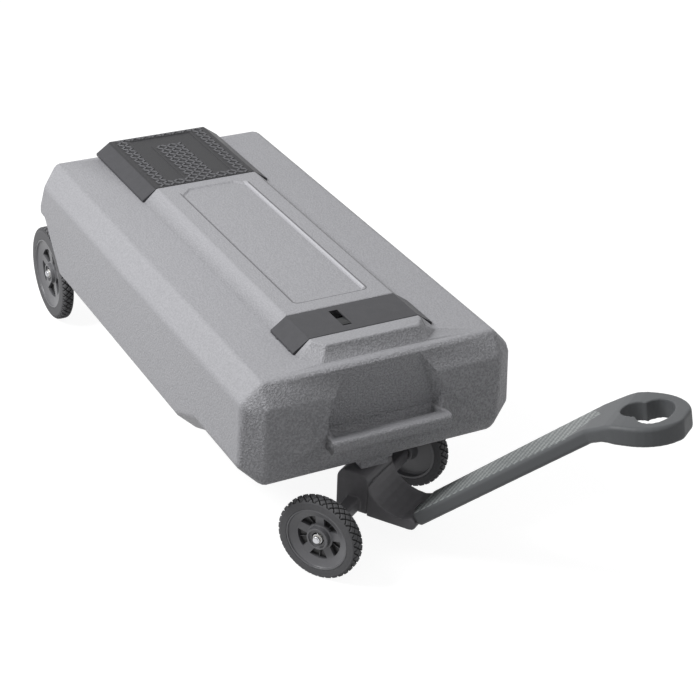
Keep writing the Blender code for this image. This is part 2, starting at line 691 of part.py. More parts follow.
def make_gauge():
    """The level gauge: a float on an arm whose crank slides the flag along the slot."""
    x, y = GAUGE_X, FRONT + GAUGE_Y
    flange_foot = DECK + 2 * SEAT + GAUGE_SEAL_THICK
    flange_top = flange_foot + GAUGE_FLANGE_THICK
    pivot = (y, DECK - GAUGE_PIVOT_DROP)
    seal_foot = DECK + SEAT
    seal_top = seal_foot + GAUGE_SEAL_THICK
    seal = tube(GAUGE_HOLE, GAUGE_FLANGE, seal_foot, seal_top, (x, y, 0.0), segments=32)
    add_piece("gauge_seal", seal, "seal_rubber")

    plug = GAUGE_HOLE - RUN
    profile = [(0.0, DECK - GAUGE_PLUG), (plug, DECK - GAUGE_PLUG), (plug, flange_foot)]
    profile += [(GAUGE_FLANGE, flange_foot), (GAUGE_FLANGE, flange_top), (0.0, flange_top)]
    housing = add_piece("gauge_housing", turned(profile, (x, y, 0.0), segments=32), "port_plastic")
    half = GAUGE_ARM_THICK / 2 + SIDE_PLAY
    lower = box((x - half, y - 0.050, DECK - 0.050), (x + half, y + 0.014, DECK - 0.003))
    upper = box((x - half, y - 0.014, DECK - 0.004), (x + half, y + 0.0138, DECK + 0.020))
    cut(housing, "gauge_arm_slot", lower)
    cut(housing, "gauge_crank_slot", upper)
    pin_half = GAUGE_HOLE - 0.004
    centre = (x, pivot[0], pivot[1])
    bore = rod(GAUGE_PIN_RADIUS + SEAT, -pin_half, pin_half, centre, 'X', 12)
    cut(housing, "gauge_pin_bore", bore)
    pin = rod(GAUGE_PIN_RADIUS, -pin_half + SEAT, pin_half - SEAT, centre, 'X', 12)
    add_piece("float_pin", pin, "zinc_steel")

    hinge = add_pivot("float_pivot", centre)
    lean = radians(GAUGE_SWING / 2)
    fall = radians(FLOAT_REST_ANGLE)
    tip = (-GAUGE_CRANK * sin(lean), GAUGE_CRANK * cos(lean))
    bulb = (-FLOAT_ARM_LENGTH * cos(fall), -FLOAT_ARM_LENGTH * sin(fall))
    grip = (bulb[0] * 0.86, bulb[1] * 0.86)
    t = GAUGE_ARM_THICK / 2
    stem = prism(capsule((0.0, 0.0), grip, FLOAT_STEM_RADIUS), -t, t, 'X')
    arm = add_piece("float_arm", stem, "port_plastic", hinge)
    hub = rod(FLOAT_HUB_RADIUS, -t - 0.0001, t + 0.0001, axis='X', segments=20)
    join(arm, "float_hub", hub, hinge)
    slim = t - 0.0001
    crank = prism(capsule((0.0, 0.0), tip, GAUGE_TIP_RADIUS / 2), -slim, slim, 'X')
    join(arm, "float_crank", crank, hinge)
    knob = rod(GAUGE_TIP_RADIUS, -t - 0.0002, t + 0.0002, (0.0, *tip), 'X', 16)
    join(arm, "float_crank_knob", knob, hinge)
    bore = rod(GAUGE_PIN_RADIUS + SEAT, -0.02, 0.02, axis='X', segments=12)
    cut(arm, "float_arm_bore", bore, hinge)
    steps = 8
    angles = [pi * k / steps for k in range(1, steps)]
    ball = [(FLOAT_RADIUS * sin(a), -FLOAT_RADIUS * cos(a)) for a in angles]
    ball = [(0.0, -FLOAT_RADIUS)] + ball + [(0.0, FLOAT_RADIUS)]
    float_bulb = add_piece("float_bulb", turned(ball, (0.0, *bulb), segments=20), "float_plastic", hinge)
    socket = prism(capsule((0.0, 0.0), grip, FLOAT_STEM_RADIUS + SEAT), -t - SEAT, t + SEAT, 'X')
    cut(float_bulb, "float_socket", socket, hinge)

    under = RIDGE_TOP - COVER_WALL - RUN
    start = y - GAUGE_CRANK * sin(lean)
    flag_half = SLOT_WIDTH / 2 + 0.004
    front, back = start - FLAG_LENGTH / 2, start + FLAG_LENGTH / 2
    plate = box((x - flag_half, front, under - FLAG_THICK), (x + flag_half, back, under))
    flag = add_piece("level_flag", plate, "flag_plastic")
    slim = SLOT_WIDTH / 2 - SIDE_PLAY
    crest = RIDGE_TOP - RUN
    rise = [(front, under - 0.002), (back, under - 0.002), (back, under + 0.0005)]
    rise += [(start - FLAG_LENGTH / 4, crest), (front, crest)]
    join(flag, "flag_ramp", prism(rise, x - slim, x + slim, 'X'))
    inner = GAUGE_TIP_RADIUS + 0.001
    foot = DECK - GAUGE_PIVOT_DROP + tip[1] - GAUGE_TIP_RADIUS * 0.75
    for side in (-1, 1):
        near, far = sorted((start + side * inner, start + side * (inner + 0.003)))
        prong = box((x - 0.005, near, foot), (x + 0.005, far, under - 0.001))
        join(flag, f"flag_prong_{side}", prong)


def make_step_cover():
    """The rear cover over the storage well: a hinged step."""
    outer, inner = cover_outlines()
    low, high = REAR - STEP_COVER_START_BACK + SEAT, REAR - STEP_COVER_END_BACK
    hinge = add_pivot("step_cover_hinge", (0.0, REAR - HINGE_Y_BACK, DECK + HINGE_RISE))
    to_hinge = Matrix.Translation((0.0, HINGE_Y_BACK - REAR, -DECK - HINGE_RISE))

    def local(bm):
        bmesh.ops.transform(bm, matrix=to_hinge, verts=bm.verts)
        return bm

    cover = add_piece("step_cover", local(prism(outer, low, high, 'Y')), "cover_plastic", hinge)
    hollow = prism(inner, low - 0.01, high - COVER_WALL, 'Y')
    cut(cover, "step_cover_hollow", local(hollow), hinge)
    foot_top = SEAT + HINGE_FOOT_THICK + 0.0008 - HINGE_RISE
    for side in (-1, 1):
        x = side * HINGE_X
        half = KNUCKLE_LENGTH / 2 + SIDE_PLAY
        notch = box((x - half, -0.02, -0.02), (x + half, 0.02, foot_top))
        cut(cover, f"hinge_notch_{side}", notch, hinge)
        for end in (-1, 1):
            near, far = sorted((x + end * half, x + end * (half + KNUCKLE_LENGTH / 2)))
            back = (HINGE_Y_BACK - STEP_COVER_END_BACK - COVER_WALL / 2, 0.0)
            lug = prism(capsule(back, (0.0, 0.0), KNUCKLE_RADIUS), near, far, 'X')
            join(cover, f"cover_lug_{side}_{end}", lug, hinge)
            bore = rod(HINGE_PIN_RADIUS + SEAT, near - 0.002, far + 0.002, axis='X', segments=12)
            cut(cover, f"cover_lug_bore_{side}_{end}", bore, hinge)


def make_lid_hinges():
    y, z = REAR - HINGE_Y_BACK, DECK + HINGE_RISE
    for side, word in ((-1, "left"), (1, "right")):
        x = side * HINGE_X
        half = KNUCKLE_LENGTH / 2
        low = (x - half, REAR - HINGE_SCREW_Y_BACK - 0.008, DECK + SEAT)
        foot = box(low, (x + half, y, DECK + SEAT + HINGE_FOOT_THICK))
        bracket = add_piece(f"lid_hinge_{word}", foot, "zinc_steel")
        knuckle = rod(KNUCKLE_RADIUS, -half - 0.0001, half + 0.0001, (x, y, z), 'X', 20)
        join(bracket, f"knuckle_{word}", knuckle)
        bore = rod(HINGE_PIN_RADIUS + SEAT, -0.02, 0.02, (x, y, z), 'X', 12)
        cut(bracket, f"knuckle_bore_{word}", bore)
        screw_y = REAR - HINGE_SCREW_Y_BACK
        hole = rod(SCREW_RADIUS + SEAT, DECK, DECK + 0.01, (x, screw_y, 0.0), segments=12)
        cut(bracket, f"hinge_foot_hole_{word}", hole)
        pin_half = half + SIDE_PLAY + KNUCKLE_LENGTH / 2
        pin = rod(HINGE_PIN_RADIUS, -pin_half, pin_half, (x, y, z), 'X', 12)
        add_piece(f"lid_pin_{word}", pin, "zinc_steel")
        head = DECK + 2 * SEAT + HINGE_FOOT_THICK
        tip = DECK - BOLT_GRIP + SEAT
        profile = [(0.0, tip), (SCREW_RADIUS, tip), (SCREW_RADIUS, head)]
        profile += [(0.0042, head), (0.0030, head + 0.0018), (0.0, head + 0.0018)]
        add_piece(f"lid_hinge_screw_{word}", turned(profile, (x, screw_y, 0.0), segments=16), "zinc_steel")


def make_port():
    """The waste port in the well: neck, seal and bayonet cap."""
    centre = (0.0, REAR - PORT_Y_BACK, 0.0)
    base = WELL_FLOOR
    outer = PORT_BORE + PORT_WALL
    seal = tube(outer + RUN, PORT_FLANGE, base + SEAT, base + SEAT + SEAL_THICK, centre, segments=32)
    add_piece("port_seal", seal, "seal_rubber")
    flange = base + 2 * SEAT + SEAL_THICK
    profile = [
        (PORT_BORE, base - PORT_TAIL), (outer, base - PORT_TAIL), (outer, flange), (PORT_FLANGE, flange),
        (PORT_FLANGE, flange + PORT_FLANGE_THICK), (outer, flange + PORT_FLANGE_THICK),
        (outer, base + PORT_HEIGHT), (PORT_BORE, base + PORT_HEIGHT),
    ]
    neck = add_piece("port_neck", turned(profile, centre, segments=32, ring=True), "port_plastic")
    skirt = outer + BAYONET_LUG + SIDE_PLAY
    lug_top = base + PORT_HEIGHT - 0.006
    for side in (-1, 1):
        low = (outer - 0.001) * side
        high = (outer + BAYONET_LUG) * side
        x0, x1 = sorted((low, high))
        lug = box((x0, centre[1] - BAYONET_HALF, lug_top - 0.004), (x1, centre[1] + BAYONET_HALF, lug_top))
        join(neck, f"neck_lug_{side}", lug)
    pivot = add_pivot("port_cap_pivot", centre)
    roof = base + PORT_HEIGHT + SEAT
    edge = skirt + CAP_WALL
    cup = [
        (0.0, roof), (skirt, roof), (skirt, roof - CAP_SKIRT + 0.004), (edge, roof - CAP_SKIRT + 0.004),
        (edge, roof + CAP_WALL - 0.002), (edge - 0.002, roof + CAP_WALL), (0.0, roof + CAP_WALL),
    ]
    cap = add_piece("port_cap", turned(cup, segments=32), "port_plastic", pivot)
    half, thick = edge - 0.008, CAP_GRIP_THICK / 2
    grip = box((-half, -thick, roof + 0.001), (half, thick, roof + CAP_WALL + CAP_GRIP_HEIGHT))
    join(cap, "cap_grip", grip, pivot)
    hook_top = lug_top - 0.004 - SIDE_PLAY
    for side in (-1, 1):
        x0, x1 = sorted(((outer + SIDE_PLAY) * side, (skirt + 0.001) * side))
        hook = box((x0, -BAYONET_HALF, hook_top - 0.003), (x1, BAYONET_HALF, hook_top))
        join(cap, f"cap_hook_{side}", hook, pivot)


def bolt(name, x, y, top, head_z):
    """A bolt with its head down: its shank runs from the head up to the top."""
    profile = [
        (0.0, head_z - BOLT_HEAD_THICK), (BOLT_HEAD_RADIUS * 0.8, head_z - BOLT_HEAD_THICK),
        (BOLT_HEAD_RADIUS, head_z - BOLT_HEAD_THICK * 0.7), (BOLT_HEAD_RADIUS, head_z),
        (BOLT_RADIUS, head_z), (BOLT_RADIUS, top), (0.0, top),
    ]
    add_piece(name, turned(profile, (x, y, 0.0), segments=12), "zinc_steel")


def make_pivot_block():
    """The light grey block under the tank's front that the steering turns under."""
    kx, ky = 0.0, FRONT + KINGPIN_Y
    top = FRONT_BELLY_RISE - SEAT
    low = PIVOT_BLOCK_BOTTOM
    flange = box(
        (-PIVOT_FLANGE_HALF, ky - PIVOT_BLOCK_FRONT, top - PIVOT_FLANGE_THICK),
        (PIVOT_FLANGE_HALF, ky + PIVOT_BLOCK_BACK, top),
    )
    block = add_piece("pivot_block", flange, "tank_polyethylene")
    corner = (-PIVOT_BOSS_HALF, ky - PIVOT_BLOCK_FRONT + 0.004, low)
    boss = box(corner, (PIVOT_BOSS_HALF, ky + PIVOT_BOSS_HALF, top - 0.002))
    join(block, "pivot_boss", boss)
    for side in (-1, 1):
        x0, x1 = sorted((side * (PIVOT_BOSS_HALF - 0.010), side * (PIVOT_BOSS_HALF + 0.010)))
        notch = box((x0, ky - 0.060, low - 0.010), (x1, ky + 0.060, low + 0.014))
        cut(block, f"pivot_notch_{side}", notch)
    pin = (kx, ky, 0.0)
    cut(block, "kingpin_bore", rod(KINGPIN_RADIUS + RUN, low - 0.01, top + 0.01, pin, segments=24))
    seat = top - KINGPIN_HEAD_THICK - 2 * SEAT
    cut(block, "kingpin_seat", rod(KINGPIN_HEAD + RUN, seat, top + 0.01, pin, segments=24))
    head_z = top - PIVOT_FLANGE_THICK - SEAT
    for i, (x, y) in enumerate(plate_bolt_places()):
        hole = rod(BOLT_RADIUS + SEAT, head_z - 0.01, top + 0.01, (x, y, 0.0), segments=12)
        cut(block, f"pivot_bolt_hole_{i}", hole)
        bolt(f"pivot_bolt_{i + 1}", x, y, FRONT_BELLY_RISE + BOLT_GRIP - SEAT, head_z)
    bore = KINGPIN_RADIUS + RUN
    washer = tube(bore, WASHER_RADIUS, low - SEAT - WASHER_THICK, low - SEAT, pin, segments=24)
    add_piece("pivot_washer", washer, "bush_nylon")
    head_low = top - SEAT - KINGPIN_HEAD_THICK
    tail = NUT_TOP - NUT_HEIGHT - 0.001
    profile = [(0.0, tail), (KINGPIN_RADIUS, tail), (KINGPIN_RADIUS, head_low)]
    profile += [(KINGPIN_HEAD, head_low), (KINGPIN_HEAD, top - SEAT), (0.0, top - SEAT)]
    add_piece("kingpin", turned(profile, pin, segments=24), "zinc_steel")


def make_carrier(steering):
    """The steered axle carrier: a knuckle round the kingpin on a beam that holds the axle."""
    top = CARRIER_TOP
    foot = FRONT_AXLE_Z - CARRIER_FOOT
    back, front = CARRIER_BACK, -CARRIER_FRONT
    r = CARRIER_CROWN_RADIUS
    outline = [(back, foot)]
    outline += arc((back - r, top - r), r, 0, 90, 4)
    outline += arc((front + r, top - r), r, 90, 180, 4)
    outline += [(front, foot)]
    knuckle = prism(outline, -CARRIER_HALF_WIDTH, CARRIER_HALF_WIDTH, 'X')
    carrier = add_piece("axle_carrier", knuckle, "carrier_plastic", steering)
    h = BEAM_HALF_THICK
    z = FRONT_AXLE_Z
    section = [(-h, z - h), (h, z - h), (h, z + h), (-h, z + h)]
    reach = FRONT_HALF_TRACK - FRONT_HUB_OUT - FRONT_HUB_LENGTH - SIDE_PLAY
    beam = add_tool("axle_beam", prism(section, -reach, reach, 'X'), steering)
    bevel(beam, 0.004, 1)
    combine(carrier, beam, 'UNION')
    bore = rod(AXLE_RADIUS + SEAT, -reach - 0.01, reach + 0.01, (0, 0, z), 'X', 16)
    cut(carrier, "axle_bore", bore, steering)
    bore = rod(KINGPIN_RADIUS + RUN, NUT_TOP - 0.012, top + 0.01, segments=24)
    cut(carrier, "carrier_kingpin_bore", bore, steering)
    window = box(
        (-NUT_HALF_FLATS - 0.004, -0.080, NUT_TOP - NUT_HEIGHT - 0.0018),
        (NUT_HALF_FLATS + 0.004, 0.080, NUT_TOP + SEAT),
    )
    cut(carrier, "nut_window", window, steering)
    for side in (-1, 1):
        hole = rod(BOLT_RADIUS + SEAT, -0.06, 0.06, (side * TONGUE_BOLT_X, 0.0, TONGUE_BOLT_Z), 'Y', 12)
        cut(carrier, f"carrier_bolt_hole_{side}", hole, steering)
    hexagon = arc((0.0, 0.0), NUT_HALF_FLATS / cos(pi / 6), 0, 300, 5)
    hex_body = prism(hexagon, NUT_TOP - NUT_HEIGHT, NUT_TOP, 'Z')
    nut = add_piece("kingpin_nut", hex_body, "zinc_steel", steering)
    bore = rod(KINGPIN_RADIUS + RUN, NUT_TOP - 0.03, NUT_TOP + 0.02, segments=24)
    cut(nut, "nut_bore", bore, steering)
    half = FRONT_HALF_TRACK - FRONT_HUB_OUT + AXLE_STUB
    add_piece("front_axle", rod(AXLE_RADIUS, -half, half, (0, 0, z), 'X', 16), "zinc_steel", steering)


def make_tongue(steering):
    """The tongue that carries the tow bar's hinge in front of the carrier."""
    hy, hz = -TOW_HINGE_REACH, TOW_HINGE_Z
    back = -CARRIER_FRONT - SEAT
    r = TONGUE_TIP_RADIUS
    low = hz - r
    outline = [(back, low)]
    outline += list(reversed(arc((hy, hz), r, 90, 270, 8)))
    # The top is a hollow curve that falls from the knuckle to the plate: a quarter of an ellipse
    plate_top = low + TONGUE_PLATE_THICK
    reach = (back - hy) - 1.3 * r
    rise = TONGUE_ROOT_HEIGHT - TONGUE_PLATE_THICK
    steps = 7
    for k in range(steps + 1):
        a = pi / 2 * k / steps
        outline.append((back - reach * (1 - sin(a)), plate_top + rise * (1 - cos(a))))
    plate = prism(outline, -TONGUE_HALF_WIDTH, TONGUE_HALF_WIDTH, 'X')
    tongue = add_piece("tow_tongue", plate, "carrier_plastic", steering)
    bevel(tongue, 0.003, 1, 35)
    s = TONGUE_SLOT_HALF
    slot = box((-s, hy - 0.060, hz - 0.060), (s, hy + EYE_NECK_HALF + SIDE_PLAY, hz + 0.060))
    cut(tongue, "tongue_slot", slot, steering)
    socket = rod(EYE_RADIUS + SIDE_PLAY, -s, s, (0, hy, hz), 'X', 24)
    cut(tongue, "tongue_eye_socket", socket, steering)
    blind = TONGUE_HALF_WIDTH - TONGUE_CHEEK
    bore = rod(TOW_PIN_RADIUS + SEAT, -blind - SEAT, 0.08, (0, hy, hz), 'X', 16)
    cut(tongue, "tongue_pin_bore", bore, steering)
    for side, word in ((-1, "left"), (1, "right")):
        x = side * TONGUE_BOLT_X
        deep = back - TONGUE_BOLT_GRIP
        hole = rod(BOLT_RADIUS + SEAT, deep - SEAT, back + 0.01, (x, 0.0, TONGUE_BOLT_Z), 'Y', 12)
        cut(tongue, f"tongue_bolt_hole_{word}", hole, steering)
        head = CARRIER_BACK + SEAT
        profile = [(0.0, deep), (BOLT_RADIUS, deep), (BOLT_RADIUS, head), (BOLT_HEAD_RADIUS, head)]
        profile += [(BOLT_HEAD_RADIUS * 0.8, head + BOLT_HEAD_THICK), (0.0, head + BOLT_HEAD_THICK)]
        shape = turned(profile, (x, 0.0, TONGUE_BOLT_Z), 'Y', 12)
        add_piece(f"tongue_bolt_{word}", shape, "zinc_steel", steering)
    face = TONGUE_HALF_WIDTH
    pin = rod(TOW_PIN_RADIUS, -blind, face + TOW_PIN_TAIL, (0, hy, hz), 'X', 16)
    add_piece("tow_pin", pin, "zinc_steel", steering)
    clip = tube(TOW_PIN_RADIUS + SEAT, TOW_PIN_RADIUS * 1.9, face + SEAT, face + 0.002, (0, hy, hz), 'X', 16)
    add_piece("tow_pin_clip", clip, "zinc_steel", steering)


def bar_stations():
    """Stations along the tow bar as (distance, half width, half thickness)."""
    half, neck, ring, thick = BAR_WIDTH / 2, NECK_WIDTH / 2, RING_WIDTH / 2, BAR_THICK / 2
    start = TONGUE_TIP_RADIUS + BAR_GAP
    stations = [(start, half * 0.94, thick * 0.90), (start + 0.004, half, thick)]
    stations += [(start + 0.020, half, thick), (BAR_LENGTH / 2, (half + neck) / 2, thick)]
    stations.append((BAR_LENGTH - 0.030, neck, thick))
    swell = [(0.0, (neck + ring) / 2), (0.10, ring * 0.92), (0.20, ring * 0.965), (0.31, ring * 0.99)]
    swell.append((0.42, ring))
    for share in (0.52, 0.62, 0.71, 0.79, 0.86, 0.915, 0.955, 0.985, 1.0):
        swell.append((share, ring * (1 - ((share - 0.42) / 0.60) ** 2.2) ** 0.5))
    for share, width in swell:
        rise = thick + (RING_THICK / 2 - thick) * min(1.0, share / 0.22)
        if share == 1.0:
            rise *= 0.75
        stations.append((BAR_LENGTH + RING_LENGTH * share, width, rise))
    return stations


def bar_path(distance):
    """Where the bar's middle line is, in (y, z), and its slope: straight, then levelled by a bend."""
    start, length = BAR_LENGTH - 0.040, 0.090
    turn = radians(RING_LEVELLING)
    if distance <= start:
        return -distance, 0.0, 0.0
    radius = length / turn
    bent = min(distance - start, length)
    angle = bent / radius
    y = -start - radius * sin(angle)
    z = -radius * (1 - cos(angle))
    beyond = distance - start - bent
    return y - beyond * cos(angle), z - beyond * sin(angle), angle


def keyhole_cutter(hinge):
    """The hand hole: a small lobe towards the bar and a large one towards the end."""
    y0, z0, angle = bar_path(BAR_LENGTH + 0.088)
    place = Matrix.Translation((0.0, y0, z0)) @ Matrix.Rotation(angle, 4, 'X')
    turns = [2 * pi * k / 24 for k in range(24)]
    large = [(RING_HOLE_HALF * cos(a), RING_HOLE_REACH * sin(a)) for a in turns]
    small = arc((0.0, RING_LOBE_AHEAD), RING_LOBE_HALF, 0, 345, 23)
    tools = []
    for name, outline in (("hand_hole_large", large), ("hand_hole_small", small)):
        bm = prism(outline, -0.05, 0.05, 'Z')
        bmesh.ops.transform(bm, matrix=place, verts=bm.verts)
        tools.append(add_tool(name, bm, hinge))
    return tools


def make_tow_bar(hinge):
    rings = []
    for distance, half, thick in bar_stations():
        y, z, angle = bar_path(distance)
        r = min(BAR_EDGE, thick * 0.6)
        outline = [
            (-half + r, -thick), (half - r, -thick), (half, -thick + r), (half, thick - r),
            (half - r, thick), (-half + r, thick), (-half, thick - r), (-half, -thick + r),
        ]
        rings.append([(x, y + h * -sin(angle), z + h * cos(angle)) for x, h in outline])
    bar = add_piece("tow_bar", loft(rings), "tow_plastic", hinge)
    for tool in keyhole_cutter(hinge):
        combine(bar, tool)
    e = TONGUE_SLOT_HALF - SIDE_PLAY
    join(bar, "tow_eye", rod(EYE_RADIUS, -e, e, axis='X', segments=24), hinge)
    neck = box((-e, -TONGUE_TIP_RADIUS - 0.010, -EYE_NECK_HALF), (e, -EYE_RADIUS / 2, EYE_NECK_HALF))
    join(bar, "tow_neck", neck, hinge)
    bore = rod(TOW_PIN_RADIUS + SEAT, -0.05, 0.05, axis='X', segments=16)
    cut(bar, "tow_eye_bore", bore, hinge)


def pocket_cutters(inner, outer, half_spoke, low, high):
    """The five blind pockets between a rim's spokes, as closed solids in one mesh."""
    bm = bmesh.new()
    for k in range(SPOKES):
        turn = 2 * pi * k / SPOKES + pi / 2
        step = 2 * pi / SPOKES
        spread_out = asin_of(half_spoke / outer)
        spread_in = asin_of(half_spoke / inner)
        count = 5
        outline = []
        for i in range(count + 1):
            a = turn + spread_out + (step - 2 * spread_out) * i / count
            outline.append((outer * cos(a), outer * sin(a)))
        for i in range(3):
            a = turn + step - spread_in - (step - 2 * spread_in) * i / 2
            outline.append((inner * cos(a), inner * sin(a)))
        part = prism(outline, low, high, 'X')
        mesh = mesh_from(part, "pocket")
        bm.from_mesh(mesh)
        bpy.data.meshes.remove(mesh)
    return bm


def asin_of(ratio):
    return atan2(ratio, sqrt(1 - ratio * ratio))


def settled_mesh(obj, name):
    """The mesh of an object with its modifiers applied, for its copies to share."""
    graph = bpy.context.evaluated_depsgraph_get()
    mesh = bpy.data.meshes.new_from_object(obj.evaluated_get(graph))
    mesh.name = name
    return mesh


def rim_profile(rim, width, hub_in, hub_out):
    """Half a rim's section as (radius, height): barrel, web and hub, outer side up."""
    bore = AXLE_RADIUS + RUN + BUSH_WALL + SEAT
    half = width / 2 - RIM_SETBACK
    barrel = rim - BARREL_WALL
    low, high = WEB_OFFSET - WEB_HALF, WEB_OFFSET + WEB_HALF
    return [
        (bore, hub_in), (HUB_RADIUS, hub_in), (HUB_RADIUS + 0.002, low), (barrel - 0.003, low),
        (barrel, -half), (rim - SEAT, -half), (rim - SEAT, half), (barrel, half),
        (barrel - 0.002, high + 0.002), (HUB_RADIUS + 0.004, high), (HUB_RADIUS, hub_out), (bore, hub_out),
    ]


def tyre_profile(rim, radius, width):
    half = width / 2
    bead, shoulder, wall = 0.003, 0.009, 0.012
    rising = [(rim, bead), (radius - wall, 0.0), (radius - 0.004, bead), (radius, shoulder)]
    low = [(r, -half + h) for r, h in rising]
    high = [(r, half - h) for r, h in reversed(rising)]
    return low + high


def wheel_meshes(word, radius, width, rim, hub_out, hub_length):
    """The meshes that the left and right wheel of one axle share, outer side towards +X."""
    hub_in = hub_out - hub_length
    profile = rim_profile(rim, width, hub_in, hub_out)
    blank = turned(profile, axis='X', segments=WHEEL_SEGMENTS, ring=True)
    master = add_piece(f"{word}_rim_master", blank, "rim_plastic")
    floor = WEB_OFFSET - WEB_HALF + POCKET_BACK_WALL
    cutter = pocket_cutters(HUB_RADIUS + 0.013, rim * RIM_POCKET_REACH, SPOKE_WIDTH / 2, floor, width)
    cut(master, f"{word}_spoke_pockets", cutter)
    bpy.context.view_layer.update()
    rim_mesh = settled_mesh(master, f"{word}_rim")
    bpy.data.objects.remove(master, do_unlink=True)
    band = turned(tyre_profile(rim, radius, width), axis='X', segments=WHEEL_SEGMENTS, ring=True)
    tyre = mesh_from(band, f"{word}_tyre")
    bore = AXLE_RADIUS + RUN
    bush = mesh_from(tube(bore, bore + BUSH_WALL, hub_in, hub_out, axis='X', segments=20), f"{word}_bush")
    inside = AXLE_RADIUS + SEAT
    foot = hub_out + SIDE_PLAY
    crown = hub_out + AXLE_STUB + SEAT
    rim_edge = PUSH_NUT_RADIUS
    cup = [(0.0, crown), (inside, crown), (inside, foot), (rim_edge, foot), (rim_edge * 0.9, foot + 0.002)]
    cup += [(rim_edge * 0.78, foot + 0.0022), (rim_edge * 0.72, crown + 0.0006), (0.0, crown + 0.0016)]
    nut = mesh_from(turned(cup, axis='X', segments=20), f"{word}_push_nut")
    return {"rim": rim_mesh, "tyre": tyre, "bush": bush, "push_nut": nut}


WHEEL_FINISH = {"rim": "rim_plastic", "tyre": "tyre_rubber", "bush": "bush_nylon", "push_nut": "zinc_steel"}


def place_wheels(word, meshes, track, height, parent, y=0.0):
    """The left and right wheel of one axle; a left wheel is a right one turned half round."""
    for side, hand in ((-1, "left"), (1, "right")):
        turn = (0, 0, 180) if side < 0 else (0, 0, 0)
        spin = add_pivot(f"{word}_{hand}_wheel", (side * track, y, height), parent, turn)
        for part, mesh in meshes.items():
            if not mesh.materials:
                mesh.materials.append(material(WHEEL_FINISH[part]))
            mesh.shade_smooth()
            mesh.set_sharp_from_angle(angle=radians(28))
            obj = bpy.data.objects.new(f"{word}_{hand}_{part}", mesh)
            bpy.context.scene.collection.objects.link(obj)
            obj.parent = spin


def make_rear_axle():
    y, z = REAR, REAR_AXLE_Z
    half = REAR_HALF_TRACK - REAR_HUB_OUT + AXLE_STUB
    add_piece("rear_axle", rod(AXLE_RADIUS, -half, half, (0, y, z), 'X', 16), "zinc_steel")
    rise, run = REAR_SHELF_RISE, UNDERCUT_START_BACK - UNDERCUT_END_BACK
    length = hypot(rise, run)
    along = (run / length, rise / length)
    out = (along[1], -along[0])

    def on_slope(share, off):
        return (REAR - UNDERCUT_START_BACK + run * share + out[0] * off, rise * share + out[1] * off)

    t = BRACKET_THICK
    fillet = 1.5 * BODY_EDGE_RADIUS
    shelf = REAR_SHELF_RISE - SEAT
    hub_in = REAR_HALF_TRACK - REAR_HUB_OUT - REAR_HUB_LENGTH
    for side, word in ((-1, "left"), (1, "right")):
        inner, outer = sorted((side * (BRACKET_X - t), side * BRACKET_X))
        flange_in, flange_out = sorted((side * (BRACKET_X - BRACKET_FLANGE), side * BRACKET_X))
        corner = REAR - UNDERCUT_END_BACK + fillet
        outline = [(REAR - 0.008, shelf), (corner, shelf), on_slope(0.90, SEAT), on_slope(0.22, SEAT)]
        outline += arc((y, z), BRACKET_BOSS, 215, 365, 8)
        cheek = add_piece(f"axle_bracket_{word}", prism(outline, inner, outer, 'X'), "zinc_steel")
        low_corner = (flange_in, corner + 0.001, shelf - t)
        top_plate = box(low_corner, (flange_out, REAR - 0.0085, shelf - 0.0001))
        join(cheek, f"bracket_top_{word}", top_plate)
        near, deep = SEAT + 0.0001, SEAT + t
        slope = [on_slope(0.25, near), on_slope(0.25, deep), on_slope(0.88, deep), on_slope(0.88, near)]
        join(cheek, f"bracket_slope_{word}", prism(slope, flange_in, flange_out, 'X'))
        x0, x1 = sorted((side * (BRACKET_X - 0.010), side * (BRACKET_X + 0.003)))
        boss = rod(BRACKET_BOSS - 0.002, x0, x1, (0, y, z), 'X', 24)
        join(cheek, f"bracket_boss_{word}", boss)
        bore = rod(AXLE_RADIUS + SEAT, x0 - 0.01, x1 + 0.01, (0, y, z), 'X', 16)
        cut(cheek, f"bracket_bore_{word}", bore)
        x, by = [place for place in bracket_bolt_places() if place[0] * side > 0][0]
        hole = rod(BOLT_RADIUS + SEAT, shelf - 0.01, shelf + 0.01, (x, by, 0.0), segments=12)
        cut(cheek, f"bracket_bolt_hole_{word}", hole)
        bolt(f"bracket_bolt_{word}", x, by, REAR_SHELF_RISE + BOLT_GRIP - SEAT, shelf - t - SEAT)
        s0, s1 = sorted((side * (BRACKET_X + 0.003 + SEAT), side * (hub_in - SIDE_PLAY)))
        spacer = tube(AXLE_RADIUS + SEAT, AXLE_RADIUS + 0.004, s0, s1, (0, y, z), 'X', 20)
        add_piece(f"axle_spacer_{word}", spacer, "port_plastic")


def main():
    clear_scene()
    make_tank()
    make_gauge_cover()
    make_gauge()
    make_step_cover()
    make_lid_hinges()
    make_port()
    make_pivot_block()
    steering = add_pivot("steering", (0.0, FRONT + KINGPIN_Y, 0.0), turn=(0, 0, STEER_ANGLE))
    make_carrier(steering)
    make_tongue(steering)
    hinge = add_pivot("tow_hinge", (0.0, -TOW_HINGE_REACH, TOW_HINGE_Z), steering, (-TOW_PITCH, 0, 0))
    make_tow_bar(hinge)
    width, rim = FRONT_WHEEL_WIDTH, RIM_RADIUS_FRONT
    meshes = wheel_meshes("front", FRONT_WHEEL_RADIUS, width, rim, FRONT_HUB_PROUD, FRONT_HUB_LENGTH)
    place_wheels("front", meshes, FRONT_HALF_TRACK - width / 2, FRONT_AXLE_Z, steering)
    width, rim = REAR_WHEEL_WIDTH, RIM_RADIUS_REAR
    meshes = wheel_meshes("rear", REAR_WHEEL_RADIUS, width, rim, REAR_HUB_PROUD, REAR_HUB_LENGTH)
    place_wheels("rear", meshes, REAR_HALF_TRACK - width / 2, REAR_AXLE_Z, None, REAR)
    make_rear_axle()


main()
